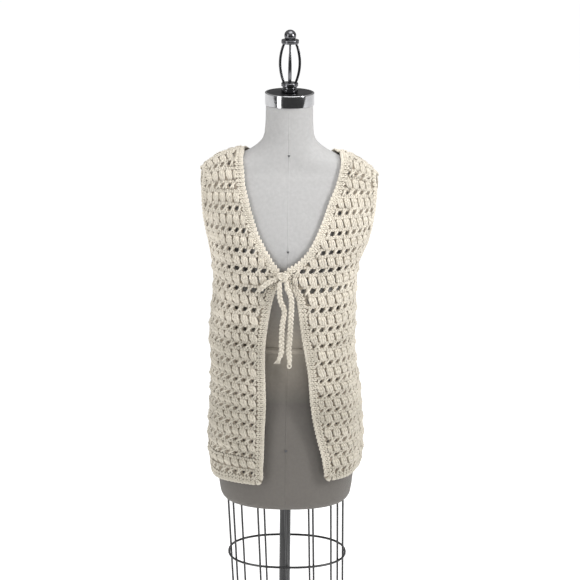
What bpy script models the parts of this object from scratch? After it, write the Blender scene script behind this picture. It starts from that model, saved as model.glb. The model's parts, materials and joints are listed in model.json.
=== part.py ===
"""Crochet vest on a limbless dress form. Metres, +Z up, +X to the wearer's left, -Y to the front.
The origin is on the floor, at the middle of the base."""

import math

import bmesh
import bpy
import numpy as np
from mathutils import Vector
from mathutils.bvhtree import BVHTree

# ---- driving dimensions ----
GAP = 0.0003  # left between pieces that touch
SEAM = 0.0005  # the same, counted along the cloth, where a seam may run aslant
CLOTH = 0.0045  # thickness of the crocheted wall
EASE = 0.0035  # least room between the cloth and the form
BORDER = 0.016  # width of the borders on the neck, front and hem edges
ARM_BORDER = 0.010  # width of the armhole borders
CORNER = 0.0135  # radius of the front hem corners
CORNER_STOPS = (0.0, 0.15, 0.35, 0.6)  # rows of points up the corner, against the border's width
UNDERARM = 1.145  # height of the bottom of the armholes
ARM_WIDE = 1.245  # height where the armholes are widest
ARM_FORWARD = 0.040  # how far the armhole reaches in front of the side line there
ARM_BEHIND = 0.036  # and behind it
BACK_NECK_X = 0.090  # half-width of the back neck at the shoulder seam
BACK_NECK_DIP = 3.3  # how many of the vest's rows the back neck dips by
BACK_NECK_POWER = 6  # roundness of that dip
BACK_NECK_SLOPE = 0.85  # height of the back neck border, against its width on the sloping back
ROUNDNESS = 2.35  # exponent of the vest's rings: 2 is an ellipse, more is squarer
CORD_R = 0.005  # radius of the crocheted ties

TORSO_SIDES = 40
TORSO_ROUNDNESS = 2.3
BASE_R = 0.220
BASE_T = 0.012
BASE_EDGE = 0.004
BASE_DISH = 0.006  # rise of its top towards the socket
BASE_SIDES = 72
POLE_R = 0.0115
POLE_SIDES = 24
POLE_BITE = 0.030  # depth of the pole in its socket
SOCKET_R = 0.024
SOCKET_H = 0.060
SOCKET_EDGE = 0.003
SOCKET_FLARE = 0.004  # flat ring of the base round the socket
SOCKET_SIDES = 32
CAP_R = 0.0500
CAP_H = 0.0250
CAP_EDGE = 0.0016
CAP_SIDES = 48
KNUCKLE_R = 0.0172  # the finial's hinge block
KNUCKLE_H = 0.0190
KNUCKLE_EDGE = 0.0025
KNUCKLE_GROOVE = 0.0030  # depth of the groove round its middle
KNUCKLE_SIDES = 24
ARM_COUNT = 4
ARM_H = 0.0784  # height of the finial's arms
ARM_BULGE = 0.0225  # their largest distance from the axis
ARM_FOOT = 0.0145  # distance from the axis at their feet and heads
ARM_WIDTH = 0.0075
ARM_THICK = 0.0055
ARM_STEPS = 12
ARM_BOW = 0.8  # less makes the arms bow out sooner
ARM_NARROW = 0.55  # width of their heads, against the full width
ARM_WIDEST = 0.25  # how far below their middle they are widest, against their height
COLLAR_R = 0.0178
COLLAR_H = 0.0080
COLLAR_EDGE = 0.0012
COLLAR_SIDES = 28
BALL_R = 0.0122
BALL_SINK = 0.62  # how much of the ball's radius shows under its middle
BALL_ROWS = 9
BALL_SIDES = 20
BALL_POLE = 1.45  # angle of its last ring above the middle, in radians
HOOP_R = 0.0024
HOOP_SIDES = 6
HOOP_STEPS = 48
WIRE_R = 0.0021
WIRE_SIDES = 10
CAGE_X = 0.1255  # half-width and half-depth of the hip cage
CAGE_Y = 0.0985
CAGE_TAPER = 0.95  # its size at the lowest hoop, against the top
CAGE_LEAN = 0.035  # how far it leans to +X for each metre down
HOOP_HEIGHTS = (0.503, 0.372)
WIRE_ANGLES = (0, 28, 65.5, 90, 114.5, 152, 180, 220, 250, 270, 290, 320)  # from +X, by the front

# The dress form's level sections: height, half-width, front and back reach from the axis.
TORSO_COLUMNS = ("height", "half", "front", "back")
TORSO_ROWS = (
    (0.634, 0.1290, 0.1045, 0.0930),
    (0.637, 0.1325, 0.1080, 0.0965),
    (0.644, 0.1360, 0.1112, 0.0995),
    (0.660, 0.1385, 0.1128, 0.1015),
    (0.715, 0.1440, 0.1150, 0.1075),
    (0.775, 0.1475, 0.1150, 0.1110),
    (0.840, 0.1400, 0.1070, 0.1020),
    (0.905, 0.1200, 0.0950, 0.0840),
    (0.970, 0.1085, 0.0880, 0.0740),
    (1.030, 0.1140, 0.0900, 0.0780),
    (1.095, 0.1290, 0.1000, 0.0880),
    (1.150, 0.1385, 0.1125, 0.0945),
    (1.183, 0.1430, 0.1140, 0.0970),
    (1.215, 0.1500, 0.1070, 0.0985),
    (1.255, 0.1610, 0.0920, 0.0975),
    (1.295, 0.1650, 0.0760, 0.0900),
    (1.3175, 0.1640, 0.0650, 0.0800),
    (1.3305, 0.1570, 0.0590, 0.0720),
    (1.3410, 0.1430, 0.0560, 0.0660),
    (1.3500, 0.1230, 0.0545, 0.0620),
    (1.3580, 0.1010, 0.0535, 0.0590),
    (1.3660, 0.0830, 0.0525, 0.0570),
    (1.3770, 0.0665, 0.0510, 0.0545),
    (1.3885, 0.0550, 0.0495, 0.0520),
    (1.402, 0.0500, 0.0485, 0.0495),
    (1.425, 0.0480, 0.0475, 0.0475),
    (1.4615, 0.0475, 0.0475, 0.0475),
)
TORSO_STEP = 0.036  # most height between two rings of the form's mesh

# The vest's rings, from the hem up to the shoulder ridge, where front and back fold together.
# height: at the middle; tilt: rise of the +X side; drop: fall of the ridge 0.17 m out; right and
# left: half-widths; front and back: reach from the axis; edge_right and edge_left: how far out
# from the middle each front edge lies, to its own side.
VEST_COLUMNS = (
    "height", "tilt", "drop", "right", "left", "front", "back", "edge_right", "edge_left",
)
VEST_ROWS = (
    (0.6975, 0.0070, 0.0000, 0.1540, 0.1545, 0.1310, 0.1250, 0.0470, 0.0815),
    (0.7250, 0.0040, 0.0000, 0.1595, 0.1600, 0.1315, 0.1255, 0.0470, 0.0790),
    (0.7600, 0.0000, 0.0000, 0.1620, 0.1605, 0.1315, 0.1250, 0.0458, 0.0730),
    (0.8100, 0.0000, 0.0000, 0.1605, 0.1580, 0.1305, 0.1235, 0.0445, 0.0600),
    (0.8700, 0.0000, 0.0000, 0.1570, 0.1525, 0.1290, 0.1200, 0.0425, 0.0495),
    (0.9300, 0.0000, 0.0000, 0.1570, 0.1430, 0.1270, 0.1165, 0.0445, 0.0442),
    (0.9750, 0.0000, 0.0000, 0.1600, 0.1395, 0.1255, 0.1140, 0.0450, 0.0365),
    (1.0350, 0.0000, 0.0000, 0.1570, 0.1400, 0.1245, 0.1120, 0.0392, 0.0262),
    (1.0900, 0.0000, 0.0000, 0.1525, 0.1410, 0.1230, 0.1110, 0.0285, 0.0180),
    (1.1350, 0.0000, 0.0000, 0.1545, 0.1450, 0.1220, 0.1100, 0.0142, -0.0098),
    (1.1620, 0.0000, 0.0000, 0.1590, 0.1540, 0.1205, 0.1095, 0.0297, 0.0215),
    (1.1880, 0.0000, 0.0000, 0.1660, 0.1660, 0.1170, 0.1090, 0.0450, 0.0430),
    (1.2150, 0.0000, 0.0008, 0.1735, 0.1740, 0.1105, 0.1090, 0.0590, 0.0570),
    (1.2450, 0.0000, 0.0025, 0.1800, 0.1810, 0.1010, 0.1080, 0.0700, 0.0700),
    (1.2780, 0.0000, 0.0060, 0.1840, 0.1860, 0.0885, 0.1040, 0.0800, 0.0815),
    (1.3100, -0.0015, 0.0125, 0.1850, 0.1880, 0.0720, 0.0960, 0.0875, 0.0945),
    (1.3382, -0.0028, 0.0225, 0.1835, 0.1865, 0.0535, 0.0800, 0.0900, 0.1010),
    (1.3566, -0.0035, 0.0305, 0.1815, 0.1840, 0.0360, 0.0600, 0.0905, 0.1030),
    (1.3682, -0.0035, 0.0358, 0.1800, 0.1820, 0.0170, 0.0370, 0.0905, 0.1035),
    (1.3720, -0.0035, 0.0377, 0.1790, 0.1810, -0.0050, 0.0050, 0.0905, 0.1035),
)
RIDGE = len(VEST_ROWS) - 1
RIDGE_Y = 0.005  # where the fold lies
SEAM_R = SEAM / 0.02  # a seam's gap, counted in rings near the ridge
SEAM_LOW_R = SEAM / 0.03  # and lower down
ROW_CLEAR = 0.15  # least distance in rings between two rows of points
FRONT_COLUMNS = 9  # points across a front, and along each end of the hem border
SHOULDER_COLUMNS = 4  # points across each shoulder of the back
UNDERARM_RISES = (0.0, 0.003, 0.008, 0.018, 0.030)  # extra rows over the foot of the arm borders
DROP_AT = 0.17
DROP_POWER = 4
NECK_STOPS = tuple(math.sin(math.pi / 2 * k / 7) for k in range(-7, 8))  # columns along the back neck
RING_STEPS = 240  # samples of a ring, from which its lengths are read
NUDGE_S = 0.002  # steps for the cloth's slope
NUDGE_R = 0.05

# Soft folds of the hanging cloth: place round the ring (0 front, 90 the wearer's left), width in
# degrees, depth outwards, and the heights where each starts to show and is full.
FOLD_COLUMNS = ("angle", "width", "depth", "fades_at", "full_at")
FOLDS = (
    (-62, 15, 0.0035, 1.06, 0.80),
    (-36, 12, -0.0025, 1.00, 0.76),
    (48, 13, 0.0030, 1.02, 0.82),
    (70, 12, -0.0025, 0.98, 0.78),
    (128, 16, 0.0035, 1.08, 0.80),
    (160, 14, -0.0030, 1.12, 0.84),
    (-165, 13, 0.0030, 1.05, 0.78),
    (-130, 15, -0.0030, 1.10, 0.82),
)

# Routes of the ties: x, y, z by hand, from the knot down.
KNOT_AT = (-0.0085, -0.1303, 1.1365)
SHORT_ROUTE = (
    (-0.0152, -0.1308, 1.1271), (-0.0160, -0.1322, 1.1150), (-0.0158, -0.1330, 1.1030),
    (-0.0150, -0.1322, 1.0930), (-0.0112, -0.1316, 1.0810), (-0.0062, -0.1312, 1.0700),
    (-0.0058, -0.1310, 1.0590), (-0.0080, -0.1309, 1.0470), (-0.0096, -0.1308, 1.0340),
    (-0.0104, -0.1306, 1.0200), (-0.0108, -0.1304, 1.0060), (-0.0106, -0.1302, 0.9930),
    (-0.0108, -0.1300, 0.9820), (-0.0134, -0.1299, 0.9715), (-0.0168, -0.1298, 0.9630),
)
LONG_ROUTE = (
    (-0.0026, -0.1308, 1.1271), (-0.0012, -0.1328, 1.1160), (0.0036, -0.1342, 1.1060),
    (0.0072, -0.1340, 1.0960), (0.0084, -0.1336, 1.0850), (0.0084, -0.1330, 1.0720),
    (0.0078, -0.1326, 1.0580), (0.0070, -0.1322, 1.0430), (0.0064, -0.1318, 1.0280),
    (0.0058, -0.1314, 1.0140), (0.0050, -0.1312, 1.0000), (0.0038, -0.1310, 0.9870),
    (0.0046, -0.1308, 0.9750), (0.0056, -0.1306, 0.9640), (0.0054, -0.1304, 0.9550),
)
STRAP_COLUMNS = ("height", "out")  # heights down the strap and how far right of the middle
STRAP_ROUTE = (
    (1.1322, 0.0200), (1.1285, 0.0290), (1.1225, 0.0390), (1.1145, 0.0480), (1.1050, 0.0560),
)
KNOT_HALF = (0.0125, 0.0078, 0.0095)  # half-sizes of the knot
KNOT_SIDES = 16
KNOT_LEVELS = 8
KNOT_POLE = 1.25  # angle of its end rings above and below its middle, in radians
ROUTE_STEPS = 12  # samples between two points of a route
TUBE_STEP = 4 * CORD_R  # length of a tube between two of its points

MATERIALS = {
    "wool": ((0.86, 0.82, 0.72, 1), 0.95, 0.0),
    "linen": ((0.55, 0.53, 0.50, 1), 0.85, 0.0),
    "chrome": ((0.75, 0.75, 0.76, 1), 0.12, 1.0),
    "dark_steel": ((0.16, 0.16, 0.17, 1), 0.20, 1.0),
    "black_enamel": ((0.015, 0.015, 0.016, 1), 0.35, 0.0),
}


def material(name):
    found = bpy.data.materials.get(name)
    if found:
        return found
    color, roughness, metallic = MATERIALS[name]
    made = bpy.data.materials.new(name)
    made.use_nodes = True
    shader = made.node_tree.nodes["Principled BSDF"]
    shader.inputs["Base Color"].default_value = color
    shader.inputs["Roughness"].default_value = roughness
    shader.inputs["Metallic"].default_value = metallic
    return made


def add_object(name, data, finish):
    data.materials.append(material(finish))
    made = bpy.data.objects.new(name, data)
    bpy.context.scene.collection.objects.link(made)
    return made


def add_solid(name, points, faces, finish):
    """A closed mesh from points and faces, its faces turned outwards."""
    mesh = bpy.data.meshes.new(name)
    mesh.from_pydata([tuple(point) for point in points], [], faces)
    work = bmesh.new()
    work.from_mesh(mesh)
    bmesh.ops.recalc_face_normals(work, faces=work.faces)
    work.to_mesh(mesh)
    work.free()
    mesh.shade_smooth()
    mesh.set_sharp_from_angle(angle=math.radians(40))
    return add_object(name, mesh, finish)


def read_table(rows, names):
    return {name: np.array([row[i] for row in rows], float) for i, name in enumerate(names)}


def slopes(keys, values):
    """Tangents of a cubic through the values that never overshoots them."""
    rise = np.diff(values) / np.diff(keys)
    inner = np.where(rise[1:] * rise[:-1] > 0, 2 * rise[1:] * rise[:-1] / (rise[1:] + rise[:-1] + 1e-12), 0.0)
    return np.concatenate([[rise[0]], inner, [rise[-1]]])


def between(keys, values, at):
    """The smooth value of a table's column between its rows."""
    at = min(max(at, keys[0]), keys[-1])
    i = min(int(np.searchsorted(keys, at, side="right")) - 1, len(keys) - 2)
    span = keys[i + 1] - keys[i]
    u = (at - keys[i]) / span
    tangent = slopes(keys, values)
    return (
        values[i] * (1 + 2 * u) * (1 - u) ** 2
        + values[i + 1] * u * u * (3 - 2 * u)
        + span * (tangent[i] * u * (1 - u) ** 2 - tangent[i + 1] * u * u * (1 - u))
    )


def bent(value, power):
    return math.copysign(abs(value) ** power, value)


# ---- dress form ----


def ring_of(height, half, front, back, roundness, sides):
    points = []
    for k in range(sides):
        angle = 2 * math.pi * k / sides
        across = bent(math.sin(angle), 2 / roundness)
        along = bent(math.cos(angle), 2 / roundness)
        reach = front if along > 0 else back
        points.append((half * across, -reach * along, height))
    return points


def loft(rings):
    """Points and faces of a closed solid through rings of equal counts, capped with flat fans."""
    sides = len(rings[0])
    points = [point for ring in rings for point in ring]
    faces = []
    for level in range(len(rings) - 1):
        for k in range(sides):
            low, high = level * sides, (level + 1) * sides
            step = (k + 1) % sides
            faces.append((low + k, low + step, high + step, high + k))
    for ring, start in ((rings[0], 0), (rings[-1], (len(rings) - 1) * sides)):
        middle = len(points)
        points.append(tuple(sum(axis) / sides for axis in zip(*ring)))
        faces += [(start + k, start + (k + 1) % sides, middle) for k in range(sides)]
    return points, faces


def torso_rings():
    table = read_table(TORSO_ROWS, TORSO_COLUMNS)
    heights = []
    for low, high in zip(table["height"], table["height"][1:]):
        count = max(1, math.ceil((high - low) / TORSO_STEP))
        heights += [low + (high - low) * k / count for k in range(count)]
    heights.append(table["height"][-1])
    rings = []
    for height in heights:
        half, front, back = (between(table["height"], table[name], height) for name in TORSO_COLUMNS[1:])
        rings.append(ring_of(height, half, front, back, TORSO_ROUNDNESS, TORSO_SIDES))
    return rings


def turn_angles(sides):
    return [2 * math.pi * k / sides for k in range(sides)]


def turned(name, profile, sides, finish):
    """A solid of revolution about +Z: profile rows are radius and height, from the bottom up."""
    rings = []
    for radius, height in profile:
        ring = [(radius * math.cos(a), radius * math.sin(a), height) for a in turn_angles(sides)]
        rings.append(ring)
    points, faces = loft(rings)
    return add_solid(name, points, faces, finish)


def spun(name, outline, sides, finish):
    """A solid turned from a closed outline of radius and height, with points on the axis shared."""
    points, faces, columns = [], [], []
    for k in range(sides):
        turn = 2 * math.pi * k / sides
        column = []
        for i, (radius, height) in enumerate(outline):
            if radius == 0.0 and k:
                column.append(columns[0][i])
                continue
            column.append(len(points))
            points.append((radius * math.cos(turn), radius * math.sin(turn), height))
        columns.append(column)
    for k in range(sides):
        a, b = columns[k], columns[(k + 1) % sides]
        for i in range(len(outline)):
            j = (i + 1) % len(outline)
            corners = list(dict.fromkeys((a[i], b[i], b[j], a[j])))
            if len(corners) > 2:
                faces.append(corners)
    return add_solid(name, points, faces, finish)


def bulging_strip(name, angle, z0):
    """One arm of the finial: a flat strip that bows out between its foot and its head."""
    rings = []
    for k in range(ARM_STEPS + 1):
        u = k / ARM_STEPS
        reach = ARM_FOOT + (ARM_BULGE - ARM_FOOT) * math.sin(math.pi * u) ** ARM_BOW
        swell = math.sin(math.pi * min(1.0, ARM_WIDEST + u)) ** ARM_BOW
        width = ARM_WIDTH * (ARM_NARROW + (1 - ARM_NARROW) * swell)
        corners = ((0, -width / 2), (0, width / 2), (-ARM_THICK, width / 2), (-ARM_THICK, -width / 2))
        ring = []
        for inward, side in corners:
            radius = reach + inward
            x = radius * math.cos(angle) - side * math.sin(angle)
            y = radius * math.sin(angle) + side * math.cos(angle)
            ring.append((x, y, z0 + ARM_H * u))
        rings.append(ring)
    points, faces = loft(rings)
    return add_solid(name, points, faces, "dark_steel")


def finial(z0):
    groove = z0 + KNUCKLE_H / 2
    knuckle = [
        (KNUCKLE_R - KNUCKLE_EDGE, z0), (KNUCKLE_R, z0 + KNUCKLE_EDGE),
        (KNUCKLE_R, groove - KNUCKLE_GROOVE), (KNUCKLE_R - KNUCKLE_GROOVE, groove),
        (KNUCKLE_R, groove + KNUCKLE_GROOVE), (KNUCKLE_R, z0 + KNUCKLE_H - KNUCKLE_EDGE),
        (KNUCKLE_R - KNUCKLE_EDGE, z0 + KNUCKLE_H),
    ]
    turned("finial_hinge_block", knuckle, KNUCKLE_SIDES, "dark_steel")
    arms_at = z0 + KNUCKLE_H + GAP
    for k in range(ARM_COUNT):
        bulging_strip(f"finial_arm_{k + 1}", 2 * math.pi * k / ARM_COUNT, arms_at)
    collar_at = arms_at + ARM_H + GAP
    collar_top = collar_at + COLLAR_H
    collar = [
        (COLLAR_R - COLLAR_EDGE, collar_at), (COLLAR_R, collar_at + COLLAR_EDGE),
        (COLLAR_R, collar_top - COLLAR_EDGE), (COLLAR_R - COLLAR_EDGE, collar_top),
    ]
    turned("finial_collar", collar, COLLAR_SIDES, "dark_steel")
    lowest = -math.asin(BALL_SINK)
    middle = collar_top + GAP + BALL_R * BALL_SINK
    ball = []
    for k in range(BALL_ROWS):
        lift = lowest + (BALL_POLE - lowest) * k / (BALL_ROWS - 1)
        ball.append((BALL_R * math.cos(lift), middle + BALL_R * math.sin(lift)))
    turned("finial_ball", ball, BALL_SIDES, "dark_steel")


def cage_point(angle, height, top):
    low = HOOP_HEIGHTS[-1]
    size = CAGE_TAPER + (1 - CAGE_TAPER) * (height - low) / (top - low)
    turn = math.radians(angle)
    across = bent(math.cos(turn), 2 / TORSO_ROUNDNESS)
    along = bent(math.sin(turn), 2 / TORSO_ROUNDNESS)
    lean = CAGE_LEAN * (top - height)
    return Vector((CAGE_X * size * across + lean, -CAGE_Y * size * along, height))


def hip_cage(top):
    """Upright wires inside two hoops, held under the torso."""
    for number, height in enumerate(HOOP_HEIGHTS, 1):
        points, faces = [], []
        for k in range(HOOP_STEPS):
            behind, centre, ahead = (
                cage_point(360 * (k + way) / HOOP_STEPS, height, top) for way in (-1, 0, 1)
            )
            out = Vector((0, 0, 1)).cross(ahead - behind).normalized()
            for turn in turn_angles(HOOP_SIDES):
                rise = Vector((0, 0, HOOP_R * math.sin(turn)))
                points.append(centre + out * HOOP_R * math.cos(turn) + rise)
        for k in range(HOOP_STEPS):
            a, b = k * HOOP_SIDES, (k + 1) % HOOP_STEPS * HOOP_SIDES
            for j in range(HOOP_SIDES):
                step = (j + 1) % HOOP_SIDES
                faces.append((a + j, b + j, b + step, a + step))
        add_solid(f"cage_hoop_{number}", points, faces, "black_enamel")
    inset = HOOP_R + WIRE_R + GAP
    for number, angle in enumerate(WIRE_ANGLES, 1):
        rings = []
        for height in (HOOP_HEIGHTS[-1] - HOOP_R, HOOP_HEIGHTS[0], top - GAP):
            centre = cage_point(angle, height, top)
            across = cage_point(angle + 1, height, top) - cage_point(angle - 1, height, top)
            centre -= across.normalized().cross(Vector((0, 0, -1))) * inset
            ring = []
            for turn in turn_angles(WIRE_SIDES):
                x, y = centre.x + WIRE_R * math.cos(turn), centre.y + WIRE_R * math.sin(turn)
                ring.append((x, y, height))
            rings.append(ring)
        points, faces = loft(rings)
        add_solid(f"cage_wire_{number:02d}", points, faces, "black_enamel")


def stand(torso_bottom):
    base = [
        (BASE_R - BASE_EDGE, 0.0), (BASE_R, BASE_EDGE), (BASE_R, BASE_T - BASE_EDGE),
        (BASE_R - BASE_EDGE, BASE_T), (SOCKET_R + SOCKET_FLARE, BASE_T + BASE_DISH),
    ]
    turned("stand_base", base, BASE_SIDES, "black_enamel")
    foot = BASE_T + BASE_DISH + GAP
    rim = foot + SOCKET_H
    bore = POLE_R + GAP
    socket = [
        (bore, rim), (bore, rim - POLE_BITE), (0.0, rim - POLE_BITE), (0.0, foot), (SOCKET_R, foot),
        (SOCKET_R, rim - SOCKET_EDGE), (SOCKET_R - SOCKET_EDGE, rim),
    ]
    spun("stand_socket", socket, SOCKET_SIDES, "black_enamel")
    pole = [(POLE_R, rim - POLE_BITE + GAP), (POLE_R, torso_bottom - GAP)]
    turned("stand_pole", pole, POLE_SIDES, "black_enamel")


# ---- vest ----


class Cloth:
    """The vest's outer surface, in cloth coordinates: s, the length round a ring from the middle
    front, positive towards the wearer's left, and r, the ring, from 0 at the hem to RIDGE."""

    def __init__(self, form):
        self.form = form
        self.table = read_table(VEST_ROWS, VEST_COLUMNS)
        self.keys = np.arange(len(VEST_ROWS), dtype=float)
        self.folds = [dict(zip(FOLD_COLUMNS, row)) for row in FOLDS]
        self.rings = {}

    def value(self, name, r):
        return float(between(self.keys, self.table[name], r))

    def row_at(self, height):
        """The ring whose middle is at this height."""
        low, high = 0.0, float(RIDGE)
        for _ in range(40):
            middle = (low + high) / 2
            low, high = (middle, high) if self.value("height", middle) < height else (low, middle)
        return (low + high) / 2

    def fold(self, angle, height):
        out = 0.0
        for fold in self.folds:
            apart = (angle - fold["angle"] + 180) % 360 - 180
            fades, full = fold["fades_at"], fold["full_at"]
            strength = min(1.0, max(0.0, (fades - height) / (fades - full)))
            soft = strength * strength * (3 - 2 * strength)
            out += fold["depth"] * soft * math.exp(-((apart / fold["width"]) ** 2))
        return out

    def ring(self, r):
        """(lengths, points, angles) once round, from the middle back over +X's opposite side."""
        key = round(r, 6)
        if key in self.rings:
            return self.rings[key]
        value = {name: self.value(name, r) for name in VEST_COLUMNS}
        drop = value["drop"] / DROP_AT**DROP_POWER
        angles = np.linspace(-180, 180, RING_STEPS + 1)
        points = []
        for angle in angles:
            turn = math.radians(angle)
            across = bent(math.sin(turn), 2 / ROUNDNESS)
            along = bent(math.cos(turn), 2 / ROUNDNESS)
            x = (value["left"] if across > 0 else value["right"]) * across
            reach = value["front"] + RIDGE_Y if along > 0 else value["back"] - RIDGE_Y
            z = value["height"] + value["tilt"] * across - drop * abs(x) ** DROP_POWER
            out = self.fold(angle, value["height"])
            norm = math.hypot(across, along)
            points.append((x + out * across / norm, RIDGE_Y - reach * along - out * along / norm, z))
        points = np.array(points)
        steps = np.linalg.norm(np.diff(points, axis=0), axis=1)
        lengths = np.concatenate([[0.0], np.cumsum(steps)])
        lengths -= lengths[RING_STEPS // 2]
        self.rings[key] = lengths, points, angles
        return self.rings[key]

    def around(self, r):
        lengths = self.ring(r)[0]
        return lengths[-1] - lengths[0]

    def length_at(self, r, angle):
        lengths, _, angles = self.ring(r)
        return float(np.interp(angle, angles, lengths))

    def side(self, r, left):
        return self.length_at(r, 90 if left else -90)

    def front_length(self, r, x):
        """The length from the middle front out to this x."""
        lengths, points, angles = self.ring(r)
        front = (angles >= -90) & (angles <= 90)
        return float(np.interp(x, points[front, 0], lengths[front]))

    def raw(self, s, r):
        if r > RIDGE:
            r = 2 * RIDGE - r
            s = 2 * self.side(r, s > 0) - s
        lengths, points, _ = self.ring(r)
        s = (s - lengths[0]) % self.around(r) + lengths[0]
        return Vector([float(np.interp(s, lengths, points[:, axis])) for axis in range(3)])

    def out(self, s, r):
        along = self.raw(s + NUDGE_S, r) - self.raw(s - NUDGE_S, r)
        up = self.raw(s, r + NUDGE_R) - self.raw(s, max(0.0, r - NUDGE_R))
        return along.cross(up).normalized()

    def pair(self, s, r):
        """The outer and the inner point of the wall, moved off the form where they would touch it."""
        outer = self.raw(s, r)
        normal = self.out(s, r)
        inner = outer - normal * CLOTH
        near, away, _, _ = self.form.find_nearest(inner)
        short = EASE - (inner - near).dot(away)
        if short > 0:
            outer += away * short
            inner += away * short
        return outer, inner

    def front_edge(self, r, left):
        edge = self.value("edge_left" if left else "edge_right", r)
        rise = self.value("height", r) - self.value("height", 0)
        if rise < CORNER:
            edge += CORNER - math.sqrt(max(0.0, CORNER**2 - (CORNER - rise) ** 2))
        return self.front_length(r, edge if left else -edge)

    def arm_reach(self, r, forward, margin):
        """How far from the side line the armhole's edge, or a line this margin outside it, lies."""
        reach = (ARM_FORWARD if forward else ARM_BEHIND) + margin
        height = self.value("height", r)
        if height < UNDERARM - margin:
            return 0.0
        if height < ARM_WIDE:
            fall = (ARM_WIDE - height) / (ARM_WIDE - UNDERARM + margin)
            return reach * math.sqrt(max(0.0, 1 - fall * fall))
        wide = self.row_at(ARM_WIDE)
        rise = (r - wide) / (RIDGE - wide)
        return (reach - margin) * math.cos(math.pi / 2 * min(1.0, rise)) + margin


def wall(name, cloth, grid, seam=0.0):
    """A closed wall on a grid of cloth coordinates, rows of (s, r). Points on the shoulder ridge
    move back by seam, which opens the gap there."""
    rows, columns = len(grid), len(grid[0])
    pairs = [cloth.pair(s, r) for row in grid for s, r in row]
    for (_, r), pair in zip([place for row in grid for place in row], pairs):
        for point in pair:
            point.y += seam * (r == RIDGE)
    points = [pair[0] for pair in pairs] + [pair[1] for pair in pairs]
    back = rows * columns
    faces = []
    for i in range(rows - 1):
        for j in range(columns - 1):
            a, b = i * columns + j, (i + 1) * columns + j
            faces.append((a, a + 1, b + 1, b))
            faces.append((back + a, back + b, back + b + 1, back + a + 1))
    rim = [(0, j) for j in range(columns)] + [(i, columns - 1) for i in range(1, rows)]
    rim += [(rows - 1, j) for j in range(columns - 2, -1, -1)] + [(i, 0) for i in range(rows - 2, 0, -1)]
    edge = [i * columns + j for i, j in rim]
    for a, b in zip(edge, edge[1:] + edge[:1]):
        faces.append((a, back + a, back + b, b))
    return add_solid(name, points, faces, "wool")


def spread(low, high, count):
    return [low + (high - low) * k / (count - 1) for k in range(count)]


def panel_rows(cloth):
    """Ring numbers that every panel and border shares, closer together under the armholes."""
    low = cloth.row_at(VEST_ROWS[0][0] + BORDER + GAP)
    under = [cloth.row_at(UNDERARM - ARM_BORDER + rise) for rise in UNDERARM_RISES]
    body = [float(r) for r in range(RIDGE) if low + ROW_CLEAR < r < under[0] - ROW_CLEAR]
    shoulder = [r / 2 for r in range(2 * RIDGE - 1) if r / 2 > under[-1] + ROW_CLEAR]
    return [low] + body + under + shoulder + [RIDGE]


def front_panel(cloth, left):
    grid = []
    for r in panel_rows(cloth):
        sign = 1 if left else -1
        start = cloth.front_edge(r, left) + sign * (BORDER + SEAM)
        stop = cloth.side(r, left) - sign * max(GAP / 2, cloth.arm_reach(r, True, ARM_BORDER))
        grid.append([(s, r) for s in spread(start, stop, FRONT_COLUMNS)])
    return wall("vest_front_left" if left else "vest_front_right", cloth, grid, -GAP / 2)


def back_place(cloth, c, r):
    """Cloth coordinates of the back at c, from -1 at the left armhole border to 1 at the right."""
    reach = max(GAP / 2, cloth.arm_reach(r, False, ARM_BORDER))
    start = cloth.side(r, True) + reach
    stop = cloth.around(r) + cloth.side(r, False) - reach
    return start + (stop - start) * (c + 1) / 2, r


def neck_curve(k, top, dip):
    """Ring number along the back neck, k from -1 to 1."""
    return top - dip * (1 - abs(k) ** BACK_NECK_POWER)


def back_neck_numbers(cloth):
    ridge_half = cloth.value("left", RIDGE) - ARM_BORDER
    edge = BACK_NECK_X / ridge_half
    seam = (BACK_NECK_X + BORDER) / ridge_half
    lower_dip = cloth.row_at(cloth.value("height", RIDGE - BACK_NECK_DIP) - BORDER * BACK_NECK_SLOPE)
    return edge, seam, RIDGE - lower_dip


def back_columns(cloth):
    _, seam, _ = back_neck_numbers(cloth)
    shoulder = spread(-1, -seam, SHOULDER_COLUMNS)
    return shoulder + [seam * k for k in NECK_STOPS[1:-1]] + [-c for c in reversed(shoulder)]


def back_panel(cloth):
    _, seam, dip = back_neck_numbers(cloth)
    columns = back_columns(cloth)
    rows = panel_rows(cloth)
    low, top = rows[0], rows[-1]
    grid = []
    for r in rows:
        row = []
        for c in columns:
            high = top if abs(c) >= seam else neck_curve(c / seam, top, dip)
            row.append(back_place(cloth, c, low + (high - low) * (r - low) / (top - low)))
        grid.append(row)
    return wall("vest_back", cloth, grid, GAP / 2)


def back_neck_border(cloth):
    edge, seam, dip = back_neck_numbers(cloth)
    grid = []
    for t in (0.0, 1.0):
        row = []
        for k in NECK_STOPS:
            lower = neck_curve(k, RIDGE, dip) + SEAM_R * (abs(k) < 1)
            upper = neck_curve(k, RIDGE, BACK_NECK_DIP)
            c = k * (seam + (edge - seam) * t) * (1 - SEAM / BACK_NECK_X * (1 - t))
            row.append(back_place(cloth, c, lower + (upper - lower) * t))
        grid.append(row)
    return wall("border_neck_back", cloth, grid, GAP / 2)


def front_border(cloth, left):
    sign = 1 if left else -1
    grid = []
    low = [cloth.row_at(VEST_ROWS[0][0] + BORDER * part) for part in CORNER_STOPS]
    for r in low + panel_rows(cloth):
        edge = cloth.front_edge(r, left)
        straight = cloth.value("edge_left" if left else "edge_right", r) * sign
        stop = cloth.front_length(r, straight) + sign * BORDER
        grid.append([(s, r) for s in spread(edge, stop, 3)])
    return wall("border_front_left" if left else "border_front_right", cloth, grid, -GAP / 2)


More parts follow.
